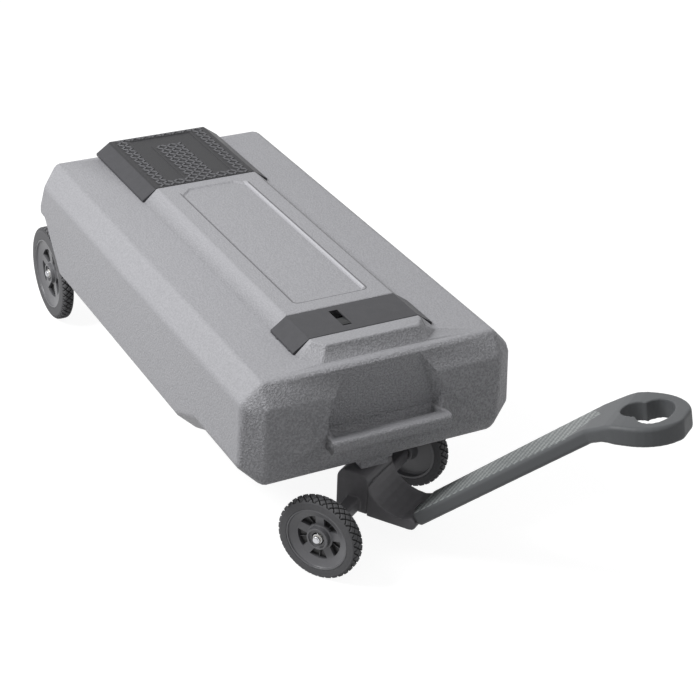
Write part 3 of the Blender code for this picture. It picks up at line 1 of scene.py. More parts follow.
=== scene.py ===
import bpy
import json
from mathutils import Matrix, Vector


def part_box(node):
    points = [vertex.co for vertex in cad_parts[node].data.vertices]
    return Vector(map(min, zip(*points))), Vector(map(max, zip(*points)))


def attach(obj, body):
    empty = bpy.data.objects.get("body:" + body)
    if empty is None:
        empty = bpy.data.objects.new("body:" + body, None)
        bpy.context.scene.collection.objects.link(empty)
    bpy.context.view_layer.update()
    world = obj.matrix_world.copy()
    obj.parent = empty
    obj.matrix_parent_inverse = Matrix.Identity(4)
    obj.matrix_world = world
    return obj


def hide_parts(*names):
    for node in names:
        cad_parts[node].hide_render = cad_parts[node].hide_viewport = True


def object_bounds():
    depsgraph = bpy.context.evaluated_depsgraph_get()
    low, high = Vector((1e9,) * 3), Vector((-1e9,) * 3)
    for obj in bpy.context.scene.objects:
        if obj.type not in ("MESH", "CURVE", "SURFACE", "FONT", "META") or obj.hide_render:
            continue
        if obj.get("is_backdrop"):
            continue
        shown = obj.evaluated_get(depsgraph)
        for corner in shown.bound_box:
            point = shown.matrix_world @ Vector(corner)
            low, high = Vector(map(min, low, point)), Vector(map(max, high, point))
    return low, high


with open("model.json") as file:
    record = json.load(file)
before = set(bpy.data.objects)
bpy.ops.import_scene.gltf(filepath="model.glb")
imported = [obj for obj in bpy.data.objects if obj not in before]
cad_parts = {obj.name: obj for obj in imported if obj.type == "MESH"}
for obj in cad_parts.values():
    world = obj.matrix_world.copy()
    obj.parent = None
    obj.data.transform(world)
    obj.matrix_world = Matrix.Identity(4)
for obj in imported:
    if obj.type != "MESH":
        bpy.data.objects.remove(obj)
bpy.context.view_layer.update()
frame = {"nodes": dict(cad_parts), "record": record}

import json
import math

import bmesh
import bpy
import numpy as np
from bpy.props import FloatProperty, FloatVectorProperty, PointerProperty
from mathutils import Matrix, Vector

bl_info = {
    "name": "Portable waste water tank",
    "version": (1, 0, 0),
    "blender": (4, 5, 0),
    "location": "3D View > Sidebar > Water tank",
    "description": "Dresses the packed parts of a wheeled waste water tank",
    "category": "Object",
}

# How the photographed tank stands: its front axle steered, its tow bar lifted (degrees)
STEER_YAW = 34.0
TOW_PITCH = 42.5

# The camera's place, its azimuth, elevation and roll (degrees), and its lens on a 36 mm sensor
CAMERA_PLACE = (-1.5677, -3.3051, 2.0317)
CAMERA_ANGLES = (-28.7057, 29.1167, 2.2148)
CAMERA_LENS = 95.85

# The key light: its direction from the tank, its distance and width, and the watts a square metre it gives
LIGHT_TOWARD = (-0.646, 0.10, 0.763)
LIGHT_DISTANCE = 3.2
LIGHT_WIDTH = 1.42
LIGHT_LEVEL = 2.88

# The ridge: half the width of its level top, and the middle, half size and corner radius of its panel
RIDGE_HALF = 0.121
PANEL_MIDDLE = -0.057
PANEL_HALF = (0.0835, 0.2995)
PANEL_CORNER = 0.012

# Covers: upright skirt, wall, and the rear face of the step cover, whose CAD box also takes in its lugs
SKIRT = 0.005
STEP_WALL = 0.0030
GAUGE_WALL = 0.0031
STEP_REAR = 0.563

# The step's smooth band: how deep it is sunk, and how wide its sloping edge is
BAND_DEPTH = 0.0012
BAND_EDGE = 0.0010

# The gauge's slot: half its width, and its front and rear ends
SLOT_HALF = 0.010
SLOT_FRONT = -0.476
SLOT_REAR = -0.412

# Wheels: rim over tyre radius, where the hub ends outwards, the hub's length, and the pockets and spokes
RIM_SHARE = {"front": 0.0685 / 0.089, "rear": 0.085 / 0.114}
HUB_OUT = {"front": 0.0135, "rear": 0.0125}
HUB_LENGTH = {"front": 0.042, "rear": 0.040}
POCKET_DEPTH = 0.0085
SPOKES = 5
SPOKE_HALF = 0.0092


def linear(hex_colour):
    """An sRGB hex colour as linear RGBA, by the sRGB curve."""
    shares = [int(hex_colour[i:i + 2], 16) / 255 for i in (1, 3, 5)]
    return tuple(s / 12.92 if s <= 0.04045 else ((s + 0.055) / 1.055) ** 2.4 for s in shares) + (1.0,)


def colour_prop(name, description, hex_colour):
    return FloatVectorProperty(
        name=name, description=description, subtype='COLOR', size=4, min=0.0, max=1.0,
        default=linear(hex_colour),
    )


def length_prop(name, description, value):
    return FloatProperty(name=name, description=description, default=value, min=0.0, unit='LENGTH')


class TankColours(bpy.types.PropertyGroup):
    shell: colour_prop("Shell", "Light grey of the rotomoulded tank", "#a1a1a5")
    cover: colour_prop("Covers", "Charcoal of the ridge covers", "#454548")
    tow_bar: colour_prop("Tow bar", "Grey of the tow bar", "#5f6163")
    tow_grip: colour_prop("Tow bar's top", "Worn light grey of the tow bar's tread", "#9da2a1")
    carrier: colour_prop("Carrier", "Dark grey of the axle carrier and tongue", "#706f72")
    rim: colour_prop("Rims", "Dark grey of the wheel rims", "#68686b")
    tyre: colour_prop("Tyres", "Dusty dark grey of the tyre rubber", "#626264")
    steel: colour_prop("Steel", "Zinc plated steel of the axles and fasteners", "#c4c5c8")


class TankSizes(bpy.types.PropertyGroup):
    pebble: length_prop("Pebble", "Distance between the pebbles of the tank's grain", 0.0040)
    tread_pitch: length_prop("Step tread", "Distance between the step's tread bars", 0.0130)
    tread_rise: length_prop("Tread rise", "How far the step's tread bars stand proud", 0.0018)
    tyre_pitch: length_prop("Tyre pitch", "Distance between the tyre's slanted grooves", 0.0165)
    tyre_groove: length_prop("Groove depth", "Depth of the tyre's grooves", 0.0030)


# Mesh work

def grid_faces(rows, columns, close_rows=False, close_columns=False):
    """Quads between neighbouring points of a rows by columns grid, joined round where asked."""
    r = np.arange(rows if close_rows else rows - 1)
    c = np.arange(columns if close_columns else columns - 1)
    i, j = (a.ravel() for a in np.meshgrid(r, c, indexing='ij'))
    ii, jj = (i + 1) % rows, (j + 1) % columns
    return np.stack([i * columns + j, ii * columns + j, ii * columns + jj, i * columns + jj], axis=1)


def mesh_of(name, points, faces):
    """A mesh from an array of points and a list of faces."""
    mesh = bpy.data.meshes.new(name)
    mesh.from_pydata(points.tolist(), [], faces)
    mesh.update()
    return mesh


def grid_mesh(name, points, quads):
    """A mesh from arrays, with unused points left out."""
    used = np.unique(quads)
    place = np.full(len(points), -1)
    place[used] = np.arange(len(used))
    return mesh_of(name, points[used], place[quads].tolist())


def settled(obj):
    """Points and faces of an object once its modifiers are applied; the object is then removed."""
    graph = bpy.context.evaluated_depsgraph_get()
    mesh = bpy.data.meshes.new_from_object(obj.evaluated_get(graph))
    points = np.zeros(len(mesh.vertices) * 3)
    mesh.vertices.foreach_get("co", points)
    faces = [list(p.vertices) for p in mesh.polygons]
    bpy.data.objects.remove(obj, do_unlink=True)
    bpy.data.meshes.remove(mesh)
    return points.reshape(-1, 3), faces


def new_object(name, mesh):
    obj = bpy.data.objects.new(name, mesh)
    bpy.context.scene.collection.objects.link(obj)
    return obj


def smooth(obj, angle=35.0):
    obj.data.shade_smooth()
    obj.data.set_sharp_from_angle(angle=math.radians(angle))


def mark(mesh, values):
    """Stores how deep each point lies in a groove or pocket, from 0 to 1, for the materials to paint shade
    by.
    """
    mesh.attributes.new("groove", 'FLOAT', 'POINT').data.foreach_set("value", values.astype(np.float32))


def crease_above(mesh, level, angle):
    """Marks the edges above a level sharp where their faces meet at more than an angle in degrees."""
    bm = bmesh.new()
    bm.from_mesh(mesh)
    for edge in bm.edges:
        high = min(v.co.z for v in edge.verts) > level
        if high and edge.is_manifold and edge.calc_face_angle() > math.radians(angle):
            edge.smooth = False
    bm.to_mesh(mesh)
    bm.free()


def weigh_normals(obj):
    """Lets the wide faces rule the shading, so rounded edges run into flat sides without a sheen."""
    modifier = obj.modifiers.new("normals", 'WEIGHTED_NORMAL')
    modifier.mode = 'FACE_AREA'
    modifier.weight = 100
    modifier.keep_sharp = True


def fit(obj, material, body, nodes):
    """Finishes a piece: its material, the body it rides on, the CAD nodes it stands for."""
    obj.data.materials.clear()
    obj.data.materials.append(material)
    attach(obj, body)
    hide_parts(*nodes)


def merged_copy(cad_node, name):
    """A copy of a CAD node's mesh with its doubled points merged."""
    bm = bmesh.new()
    bm.from_mesh(frame["nodes"][cad_node].data)
    bmesh.ops.remove_doubles(bm, verts=bm.verts, dist=1e-5)
    mesh = bpy.data.meshes.new(name)
    bm.to_mesh(mesh)
    bm.free()
    mesh.materials.clear()
    return mesh


def softened(cad_node, name, voxel, rounds):
    """A CAD node's form with the soft edges of a moulding: remeshed finely and then relaxed."""
    obj = new_object(name, merged_copy(cad_node, name))
    remesh = obj.modifiers.new("remesh", 'REMESH')
    remesh.mode = 'VOXEL'
    remesh.voxel_size = voxel
    relax = obj.modifiers.new("relax", 'SMOOTH')
    relax.factor = 0.5
    relax.iterations = rounds
    obj = new_object(name, mesh_of(name, *settled(obj)))
    obj.data.shade_smooth()
    return obj


def fillet(points, radii, steps=4):
    """An open outline with each inner corner replaced by an arc.

    The arc touches both sides at radius * tan(turn / 2) from the corner, and its points are spaced evenly
    in angle.
    """
    points = np.asarray(points, float)
    out = [points[0]]
    for before, corner, after, radius in zip(points, points[1:], points[2:], radii):
        a = (before - corner) / np.linalg.norm(before - corner)
        b = (after - corner) / np.linalg.norm(after - corner)
        half = math.acos(np.clip(a @ b, -1, 1)) / 2
        reach = radius / math.tan(half)
        centre = corner + (a + b) / np.linalg.norm(a + b) * radius / math.sin(half)
        start, end = corner + a * reach - centre, corner + b * reach - centre
        sweep = math.pi - 2 * half
        t = np.linspace(0, 1, steps + 1)[:, None]
        arc = (np.sin((1 - t) * sweep) * start + np.sin(t * sweep) * end) / math.sin(sweep)
        out += list(centre + arc)
    out.append(points[-1])
    return np.array(out)


def lathe(profile, segments):
    """A profile of (radius, axial) turned about X: point (a, r cos t, r sin t) for t round the circle."""
    t = np.linspace(0, 2 * math.pi, segments, endpoint=False)
    r, a = profile[:, 0][:, None], profile[:, 1][:, None]
    points = np.stack([np.broadcast_to(a, (len(profile), segments)), r * np.cos(t), r * np.sin(t)], axis=-1)
    return points.reshape(-1, 3), grid_faces(len(profile), segments, False, True)


def gathered(parts):
    """Several sets of points and faces as one."""
    points, faces, base = [], [], 0
    for own_points, own_faces in parts:
        points.append(own_points)
        faces += [[v + base for v in face] for face in own_faces]
        base += len(own_points)
    return np.concatenate(points), faces


def out_facing(mesh):
    """Recalculates normals of closed parts, so that all faces point outwards."""
    bm = bmesh.new()
    bm.from_mesh(mesh)
    bmesh.ops.remove_doubles(bm, verts=bm.verts, dist=1e-6)
    bmesh.ops.recalc_face_normals(bm, faces=bm.faces)
    bm.to_mesh(mesh)
    bm.free()


# Materials

def node(tree, kind, inputs=None, **settings):
    """Adds one node with its settings; an input given as an output socket is linked."""
    made = tree.nodes.new("ShaderNode" + kind)
    for name, value in settings.items():
        setattr(made, name, value)
    for key, value in (inputs or {}).items():
        if isinstance(value, bpy.types.NodeSocket):
            tree.links.new(value, made.inputs[key])
        else:
            made.inputs[key].default_value = value
    return made


def new_material(name, colour, roughness, metallic=0.0):
    """A material of one colour and roughness, with its node tree and shader."""
    material = bpy.data.materials.new(name)
    material.use_nodes = True
    tree = material.node_tree
    shader = tree.nodes["Principled BSDF"]
    shader.inputs["Base Color"].default_value = colour
    shader.inputs["Roughness"].default_value = roughness
    shader.inputs["Metallic"].default_value = metallic
    material.diffuse_color = colour
    return material, tree, shader


def shade(colour, factor):
    """A colour made darker or paler by a factor."""
    return tuple(min(1.0, c * factor) for c in colour[:3]) + (1.0,)


def speckled(tree, shader, place, colour, size, spread):
    """Colour that wavers by a small share from spot to spot, as pigment in a moulding does."""
    patches = node(tree, "TexNoise", {"Vector": place, "Scale": 1 / size, "Detail": 3.0, "Roughness": 0.6})
    tones = node(tree, "ValToRGB", {"Fac": patches.outputs["Fac"]})
    dark, pale = tones.color_ramp.elements
    dark.position, dark.color = 0.32, shade(colour, 1 - spread)
    pale.position, pale.color = 0.68, shade(colour, 1 + spread)
    tree.links.new(tones.outputs["Color"], shader.inputs["Base Color"])


def rough_by(tree, shader, height, low, high):
    """Roughness that runs with a height from 0 to 1."""
    span = node(tree, "MapRange", {"Value": height, "To Min": low, "To Max": high})
    tree.links.new(span.outputs["Result"], shader.inputs["Roughness"])


def panel_shade_and_highlight(tree, place):
    """Where shade and a highlight are painted on top of the ridge: two values from 0 to 1.

    Shade is painted in the seam round the sunk panel and along the ridge's right edge. Distance to the
    panel's rounded outline = |length(max(q, 0)) - r|, with q = |p - middle| - half + r. A highlight is
    painted on the strip inside the panel's right wall.
    """
    level, seam_half, line_half = 0.283, 0.0009, 0.0013
    strip_middle, strip_half, corner_start = 0.0775, 0.0042, 0.224
    half, r = PANEL_HALF, PANEL_CORNER
    offset = node(tree, "VectorMath", {0: place, 1: (0.0, PANEL_MIDDLE, 0.0)}, operation='SUBTRACT')
    size = node(tree, "VectorMath", {0: offset.outputs["Vector"]}, operation='ABSOLUTE')
    q = node(tree, "VectorMath", {0: size.outputs["Vector"], 1: (half[0] - r, half[1] - r, 10.0)},
             operation='SUBTRACT')
    outside = node(tree, "VectorMath", {0: q.outputs["Vector"], 1: (0.0, 0.0, 0.0)}, operation='MAXIMUM')
    length = node(tree, "VectorMath", {0: outside.outputs["Vector"]}, operation='LENGTH')
    off = node(tree, "Math", {0: length.outputs["Value"], 1: r}, operation='SUBTRACT')
    distance = node(tree, "Math", {0: off.outputs[0]}, operation='ABSOLUTE')
    seam = node(tree, "MapRange", {"Value": distance.outputs[0], "From Min": seam_half,
                                   "From Max": seam_half + 0.0012, "To Min": 1.0, "To Max": 0.0})
    spot = node(tree, "SeparateXYZ", {"Vector": place})
    above = node(tree, "Math", {0: spot.outputs["Z"], 1: level}, operation='GREATER_THAN')
    edge = node(tree, "Math", {0: spot.outputs["X"], 1: RIDGE_HALF + 0.0005, 2: line_half},
                operation='COMPARE')
    either = node(tree, "Math", {0: seam.outputs["Result"], 1: edge.outputs[0]}, operation='MAXIMUM')
    # The rear corners are cut, so there the moulded edge alone shows
    before = node(tree, "Math", {0: spot.outputs["Y"], 1: corner_start}, operation='LESS_THAN')
    marked = node(tree, "Math", {0: either.outputs[0], 1: before.outputs[0]}, operation='MULTIPLY')
    # Painted shade in the seam round the panel and along the ridge's right edge
    seam_shade = node(tree, "Math", {0: marked.outputs[0], 1: above.outputs[0]}, operation='MULTIPLY')
    # Painted highlight on the strip inside the panel's right wall
    strip = node(tree, "Math", {0: spot.outputs["X"], 1: strip_middle, 2: strip_half}, operation='COMPARE')
    along = node(tree, "Math", {0: spot.outputs["Y"], 1: PANEL_MIDDLE, 2: half[1] - r}, operation='COMPARE')
    short = node(tree, "Math", {0: strip.outputs[0], 1: along.outputs[0]}, operation='MULTIPLY')
    panel_highlight = node(tree, "Math", {0: short.outputs[0], 1: above.outputs[0]}, operation='MULTIPLY')
    return seam_shade.outputs[0], panel_highlight.outputs[0]


def rotomoulded_polyethylene(colour, pebble):
    """Polyethylene moulded against a blasted mould: matt, with a pebble grain that breaks up the light.

    The real pebbles are about 2 mm apart; they are drawn about twice as far apart, so that they still show.
    """
    material, tree, shader = new_material("rotomoulded_polyethylene", colour, 0.55)
    # A waxy plastic mirrors a little less than the usual 4 percent, so its dark front stays dark
    shader.inputs["Specular IOR Level"].default_value = 0.45
    place = node(tree, "TexCoord").outputs["Object"]
    bent = node(tree, "TexNoise", {"Vector": place, "Scale": 0.5 / pebble, "Detail": 2.0})
    warped = node(tree, "VectorMath", {0: bent.outputs["Color"], 1: (pebble, pebble, pebble), 2: place},
                  operation='MULTIPLY_ADD')
    pebbles = node(tree, "TexNoise", {"Vector": warped.outputs["Vector"], "Scale": 1.0 / pebble,
                                      "Detail": 2.5, "Roughness": 0.55})
    lumps = node(tree, "MapRange", {"Value": pebbles.outputs["Fac"], "From Min": 0.34, "From Max": 0.66},
                 interpolation_type='SMOOTHSTEP')
    # The mould's front is blasted coarser than its top and sides
    facing = node(tree, "SeparateXYZ", {"Vector": node(tree, "TexCoord").outputs["Normal"]}).outputs["Y"]
    coarse = node(tree, "MapRange", {"Value": facing, "From Min": -0.75, "From Max": -0.25, "To Min": 1.0,
                                     "To Max": 0.42})
    centred = node(tree, "Math", {0: lumps.outputs["Result"], 1: 0.5}, operation='SUBTRACT')
    height = node(tree, "Math", {0: centred.outputs[0], 1: coarse.outputs["Result"], 2: 0.5},
                  operation='MULTIPLY_ADD').outputs[0]
    bump = node(tree, "Bump", {"Height": height, "Strength": 0.85, "Distance": 0.0011})
    tree.links.new(bump.outputs["Normal"], shader.inputs["Normal"])
    # Painted shade between the pebbles and a painted highlight on their tops, following the bump's height
    mix = node(tree, "Mix", {"Factor": height}, data_type='RGBA')
    mix.inputs["A"].default_value = shade(colour, 0.78)
    mix.inputs["B"].default_value = shade(colour, 1.13)
    # Painted shade in the seam round the sunk panel and along the ridge's right edge, and a painted highlight
    # on the strip inside the panel
    seam_shade, panel_highlight = panel_shade_and_highlight(tree, place)
    wear_and_highlight = node(tree, "Mix", {"Factor": panel_highlight, "A": mix.outputs["Result"]}, data_type='RGBA')
    wear_and_highlight.inputs["B"].default_value = shade(colour, 1.34)
    seam = node(tree, "Mix", {"Factor": seam_shade, "A": wear_and_highlight.outputs["Result"]}, data_type='RGBA')
    seam.inputs["B"].default_value = shade(colour, 0.36)
    tree.links.new(seam.outputs["Result"], shader.inputs["Base Color"])
    rough_by(tree, shader, height, 0.58, 0.46)
    return material


def step_plastic(colour, level, rise):
    """The step's polypropylene: as the covers', with painted shade on its top and a painted highlight on its
    tread bars.
    """
    material = moulded("step_polypropylene", colour, 0.46, 0.0009, 0.00035)
    tree = material.node_tree
    shader = tree.nodes["Principled BSDF"]
    plain = shader.inputs["Base Color"].links[0].from_socket
    height = node(tree, "SeparateXYZ", {"Vector": node(tree, "TexCoord").outputs["Object"]}).outputs["Z"]
    # Painted shade: between the bars and in the band the top is darker than the slopes
    flat = node(tree, "MapRange", {"Value": height, "From Min": level - 0.0030, "From Max": level - 0.0016})
    dark = node(tree, "Mix", {"Factor": flat.outputs["Result"], "A": plain}, data_type='RGBA')
    dark.inputs["B"].default_value = shade(colour, 0.50)
    # Painted highlight: the tops of the tread bars are paler
    wear_and_highlight = node(tree, "MapRange", {"Value": height, "From Min": level + 0.4 * rise,
                                     "From Max": level + rise})
    mix = node(tree, "Mix", {"Factor": wear_and_highlight.outputs["Result"], "A": dark.outputs["Result"]},
               data_type='RGBA')
    mix.inputs["B"].default_value = shade(colour, 1.85)
    tree.links.new(mix.outputs["Result"], shader.inputs["Base Color"])
    return material


def moulded(name, colour, roughness, grain, depth, spread=0.06, patch=0.02, sheen=0.25):
    """An injection moulded plastic: its mould's fine spark grain as bump, and a slight cast in tone.

    The grain is given in metres, and is drawn coarser than the real one, so that it still shows.
    """
    material, tree, shader = new_material(name, colour, roughness)
    # The mould's spark grain breaks up the sheen
    shader.inputs["Specular IOR Level"].default_value = sheen
    place = node(tree, "TexCoord").outputs["Object"]
    speckled(tree, shader, place, colour, patch, spread)
    spark = node(tree, "TexNoise", {"Vector": place, "Scale": 1 / grain, "Detail": 3.0, "Roughness": 0.6})
    bump = node(tree, "Bump", {"Height": spark.outputs["Fac"], "Strength": 0.5, "Distance": depth})
    tree.links.new(bump.outputs["Normal"], shader.inputs["Normal"])
    rough_by(tree, shader, spark.outputs["Fac"], roughness - 0.06, roughness + 0.08)
    return material


def zinc_steel(colour):
    """Zinc plated steel: bright and slightly clouded, with a faint unevenness under the zinc.

    The clouds are about 11 mm across, and the unevenness is drawn about 0.7 mm apart, coarser than it is.
    """
    material, tree, shader = new_material("zinc_plated_steel", colour, 0.3, 1.0)
    place = node(tree, "TexCoord").outputs["Object"]
    clouds = node(tree, "TexNoise", {"Vector": place, "Scale": 90.0, "Detail": 4.0})
    rough_by(tree, shader, clouds.outputs["Fac"], 0.22, 0.42)
    uneven = node(tree, "TexNoise", {"Vector": place, "Scale": 1400.0, "Detail": 2.0})
    bump = node(tree, "Bump", {"Height": uneven.outputs["Fac"], "Strength": 0.25, "Distance": 0.0001})
    tree.links.new(bump.outputs["Normal"], shader.inputs["Normal"])
    return material


def darkened(tree, shader, plain, deep):
    """Paints shade: mixes a finish towards a dark colour where the mesh's groove attribute says so."""
    groove = node(tree, "Attribute", attribute_name="groove").outputs["Fac"]
    mix = node(tree, "Mix", {"Factor": groove, "A": plain}, data_type='RGBA')
    mix.inputs["B"].default_value = deep
    tree.links.new(mix.outputs["Result"], shader.inputs["Base Color"])


def rim_plastic(colour):
    """The rims' polypropylene: a slight gloss, and painted shade in the pockets between the spokes."""
    material = moulded("rim_polypropylene", colour, 0.34, 0.0016, 0.00010, spread=0.05, sheen=0.5)
    tree = material.node_tree
    shader = tree.nodes["Principled BSDF"]
    # Painted shade: the pockets darken with their depth
    darkened(tree, shader, shader.inputs["Base Color"].links[0].from_socket, shade(colour, 0.12))
    return material


def tyre_rubber(colour):
    """Rubber: dusty grey where it is smooth, and painted shade, near black, down in the tread's grooves.

    The dust lies in patches of about 4.5 mm, which also make the skin slightly uneven.
    """
    material, tree, shader = new_material("tyre_rubber", colour, 0.72)
    shader.inputs["Specular IOR Level"].default_value = 0.3
    place = node(tree, "TexCoord").outputs["Object"]
    dust = node(tree, "TexNoise", {"Vector": place, "Scale": 220.0, "Detail": 4.0})
    tone = node(tree, "MapRange", {"Value": dust.outputs["Fac"], "To Min": 0.84, "To Max": 1.16})
    dusty = node(tree, "VectorMath", {0: colour[:3], "Scale": tone.outputs["Result"]}, operation='SCALE')
    # Painted shade: the grooves darken with their depth
    darkened(tree, shader, dusty.outputs["Vector"], shade(colour, 0.10))
    bump = node(tree, "Bump", {"Height": dust.outputs["Fac"], "Strength": 0.4, "Distance": 0.0002})
    tree.links.new(bump.outputs["Normal"], shader.inputs["Normal"])
    return material


def tow_bar_plastic(colour, grip, hinge, turn, pitch):
    """Glass filled polypropylene: matt sides, and a lighter lozenge grain on the side facing up.

    The lozenges are two families of waves, each 30 degrees off the bar's length, multiplied. They and the
    spark grain of about 1 mm are drawn coarser than the real ones, so that they still show in the picture.
    The tread's tops are rubbed in patches of about 11 mm.
    """
    material, tree, shader = new_material("glass_filled_polypropylene", colour, 0.5)
    shader.inputs["Specular IOR Level"].default_value = 0.3
    coords = node(tree, "TexCoord")
    local = node(tree, "VectorMath", {0: coords.outputs["Object"], 1: hinge}, operation='SUBTRACT')
    axes = []
    for vector in (local.outputs["Vector"], coords.outputs["Normal"]):
        turned = node(tree, "VectorRotate", {"Vector": vector, "Rotation": turn}, rotation_type='EULER_XYZ',
                      invert=True)
        axes.append(node(tree, "SeparateXYZ", {"Vector": turned.outputs["Vector"]}))
    spot, facing = axes
    ridges = []
    for sign in (1, -1):
        slant = node(tree, "Math", {0: spot.outputs["X"], 1: 1.75 * sign, 2: spot.outputs["Y"]},
                     operation='MULTIPLY_ADD')
        wave = node(tree, "Math", {0: slant.outputs[0], 1: 2 * math.pi / pitch}, operation='MULTIPLY')
        ridges.append(node(tree, "Math", {0: wave.outputs[0]}, operation='SINE').outputs[0])
    weave = node(tree, "Math", {0: ridges[0], 1: ridges[1]}, operation='MULTIPLY')
    upward = node(tree, "MapRange", {"Value": facing.outputs["Z"], "From Min": 0.75, "From Max": 0.9})
    # The tread ends in a point towards the ring: where distance + 0.9 |x| passes 0.485 m
    aside = node(tree, "Math", {0: spot.outputs["X"]}, operation='ABSOLUTE')
    reach = node(tree, "Math", {0: aside.outputs[0], 1: -0.9, 2: spot.outputs["Y"]}, operation='MULTIPLY_ADD')
    before = node(tree, "MapRange", {"Value": reach.outputs[0], "From Min": -0.487, "From Max": -0.484})
    top = node(tree, "Math", {0: upward.outputs["Result"], 1: before.outputs["Result"]}, operation='MULTIPLY')
    raised = node(tree, "MapRange", {"Value": weave.outputs[0], "From Min": -0.20, "From Max": 0.30})
    grip_height = node(tree, "Math", {0: raised.outputs["Result"], 1: top.outputs[0]}, operation='MULTIPLY')
    bump = node(tree, "Bump", {"Height": grip_height.outputs[0], "Strength": 0.9, "Distance": 0.0010})
    spark = node(tree, "TexNoise", {"Vector": coords.outputs["Object"], "Scale": 900.0, "Detail": 3.0})
    fine = node(tree, "Bump", {"Height": spark.outputs["Fac"], "Strength": 0.35, "Distance": 0.0003,
                               "Normal": bump.outputs["Normal"]})
    tree.links.new(fine.outputs["Normal"], shader.inputs["Normal"])
    patch = node(tree, "TexNoise", {"Vector": coords.outputs["Object"], "Scale": 90.0, "Detail": 4.0})
    wear_and_highlight = node(tree, "MapRange", {"Value": patch.outputs["Fac"], "From Min": 0.35, "From Max": 0.65,
                                     "To Min": 0.55, "To Max": 1.0})
    worn = node(tree, "Math", {0: grip_height.outputs[0], 1: wear_and_highlight.outputs["Result"]}, operation='MULTIPLY')
    share = node(tree, "Math", {0: top.outputs[0], 1: 0.12, 2: worn.outputs[0]}, operation='MULTIPLY_ADD',
                 use_clamp=True)
    mix = node(tree, "Mix", {"Factor": share.outputs[0]}, data_type='RGBA')
    mix.inputs["A"].default_value = colour
    mix.inputs["B"].default_value = grip
    tree.links.new(mix.outputs["Result"], shader.inputs["Base Color"])
    return material


FINISHES = {}


def make_finishes(colours, sizes):
    """One material for each real finish of the object."""
    FINISHES["shell"] = rotomoulded_polyethylene(tuple(colours.shell), sizes.pebble)
    FINISHES["cover"] = moulded("moulded_polypropylene", tuple(colours.cover), 0.46, 0.0009, 0.00035)
    FINISHES["carrier"] = moulded("glass_filled_nylon", tuple(colours.carrier), 0.45, 0.0012, 0.0003)
    FINISHES["rim"] = rim_plastic(tuple(colours.rim))
    FINISHES["tyre"] = tyre_rubber(tuple(colours.tyre))
    FINISHES["step"] = step_plastic(tuple(colours.cover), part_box("step_cover")[1].z, sizes.tread_rise)
    FINISHES["seal"] = moulded("seal_rubber", linear("#1c1c1d"), 0.7, 0.0008, 0.0002)
    FINISHES["port"] = moulded("port_abs", linear("#38383b"), 0.4, 0.0010, 0.0002)
    FINISHES["float"] = moulded("natural_polyethylene", linear("#d8d5cb"), 0.5, 0.0016, 0.0003)
    FINISHES["flag"] = moulded("flag_abs", linear("#262728"), 0.5, 0.0012, 0.0002)
    FINISHES["nylon"] = moulded("natural_nylon", linear("#dcd9d0"), 0.42, 0.0012, 0.0002)
    FINISHES["steel"] = zinc_steel(tuple(colours.steel))
    turn = (math.radians(-TOW_PITCH), 0.0, math.radians(STEER_YAW))
    low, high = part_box("tow_pin")
    hinge = tuple((low + high) / 2)
    FINISHES["tow_bar"] = tow_bar_plastic(tuple(colours.tow_bar), tuple(colours.tow_grip), hinge, turn, 0.036)


SLOT_FINISH = {
    "tank_polyethylene": "shell", "cover_plastic": "cover", "tow_plastic": "tow_bar",
    "carrier_plastic": "carrier", "rim_plastic": "rim", "tyre_rubber": "tyre", "seal_rubber": "seal",
    "port_plastic": "port", "float_plastic": "float", "flag_plastic": "flag", "bush_nylon": "nylon",
    "zinc_steel": "steel",
}


# Covers

def profile_grid(profile, ys, shrink, lift=None):
    """Carries a profile of (x, z) along Y.

    Each row is drawn in by its own shrink: x by that much towards the middle, and z downwards by shrink times
    its share of the profile's height. lift(x, y) is a rise added where the profile is level.
    """
    x, z = profile[:, 0][None, :], profile[:, 1][None, :]
    ys, shrink = np.asarray(ys)[:, None], np.asarray(shrink)[:, None]
    foot, crown = profile[:, 1].min(), profile[:, 1].max()
    level = (z > crown - 1e-5).astype(float)
    px = x - np.sign(x) * np.minimum(shrink, np.abs(x))
    pz = np.maximum(z - shrink * (z - foot) / (crown - foot), foot)
    if lift is not None:
        pz = pz + level * lift(x, ys)
    py = np.broadcast_to(ys, px.shape)
    return np.stack([px, py, pz], axis=-1)


def ridge_profile(low, high, steps_between):
    """The section of a ridge cover: short upright skirt, slope, and level top with rounded corners."""
    half, foot, crown = high.x, low.z, high.z
    left = fillet([(-half, foot), (-half, foot + SKIRT), (-RIDGE_HALF, crown), (0.0, crown)], [0.0018, 0.004])
    left = left[:-1]
    level = np.array([(x, crown) for x in steps_between])
    right = left[::-1] * (-1, 1)
    return np.concatenate([left, level, right])


def ramp(value, edge, width):
    """0 below an edge and 1 above it, with a straight ramp of the given width between."""
    return np.clip((value - edge) / width + 0.5, 0, 1)


def skin_quads(skin):
    """The points of a cover's skin, given as a grid, and its quads facing out."""
    return skin.reshape(-1, 3), grid_faces(skin.shape[0], skin.shape[1])[:, ::-1]


def walled(name, points, quads, thickness):
    """A cover's skin given a wall of even thickness on its inside."""
    shell = new_object(name, grid_mesh(name, points, quads))
    solid = shell.modifiers.new("wall", 'SOLIDIFY')
    solid.thickness, solid.offset = thickness, -1.0
    return settled(shell)


def finished_cover(name, parts, finish, body, cad_node):
    """A cover made of its parts, with its finish."""
    obj = new_object(name, mesh_of(name, *gathered(parts)))
    smooth(obj, 30)
    weigh_normals(obj)
    fit(obj, FINISHES[finish], body, [cad_node])


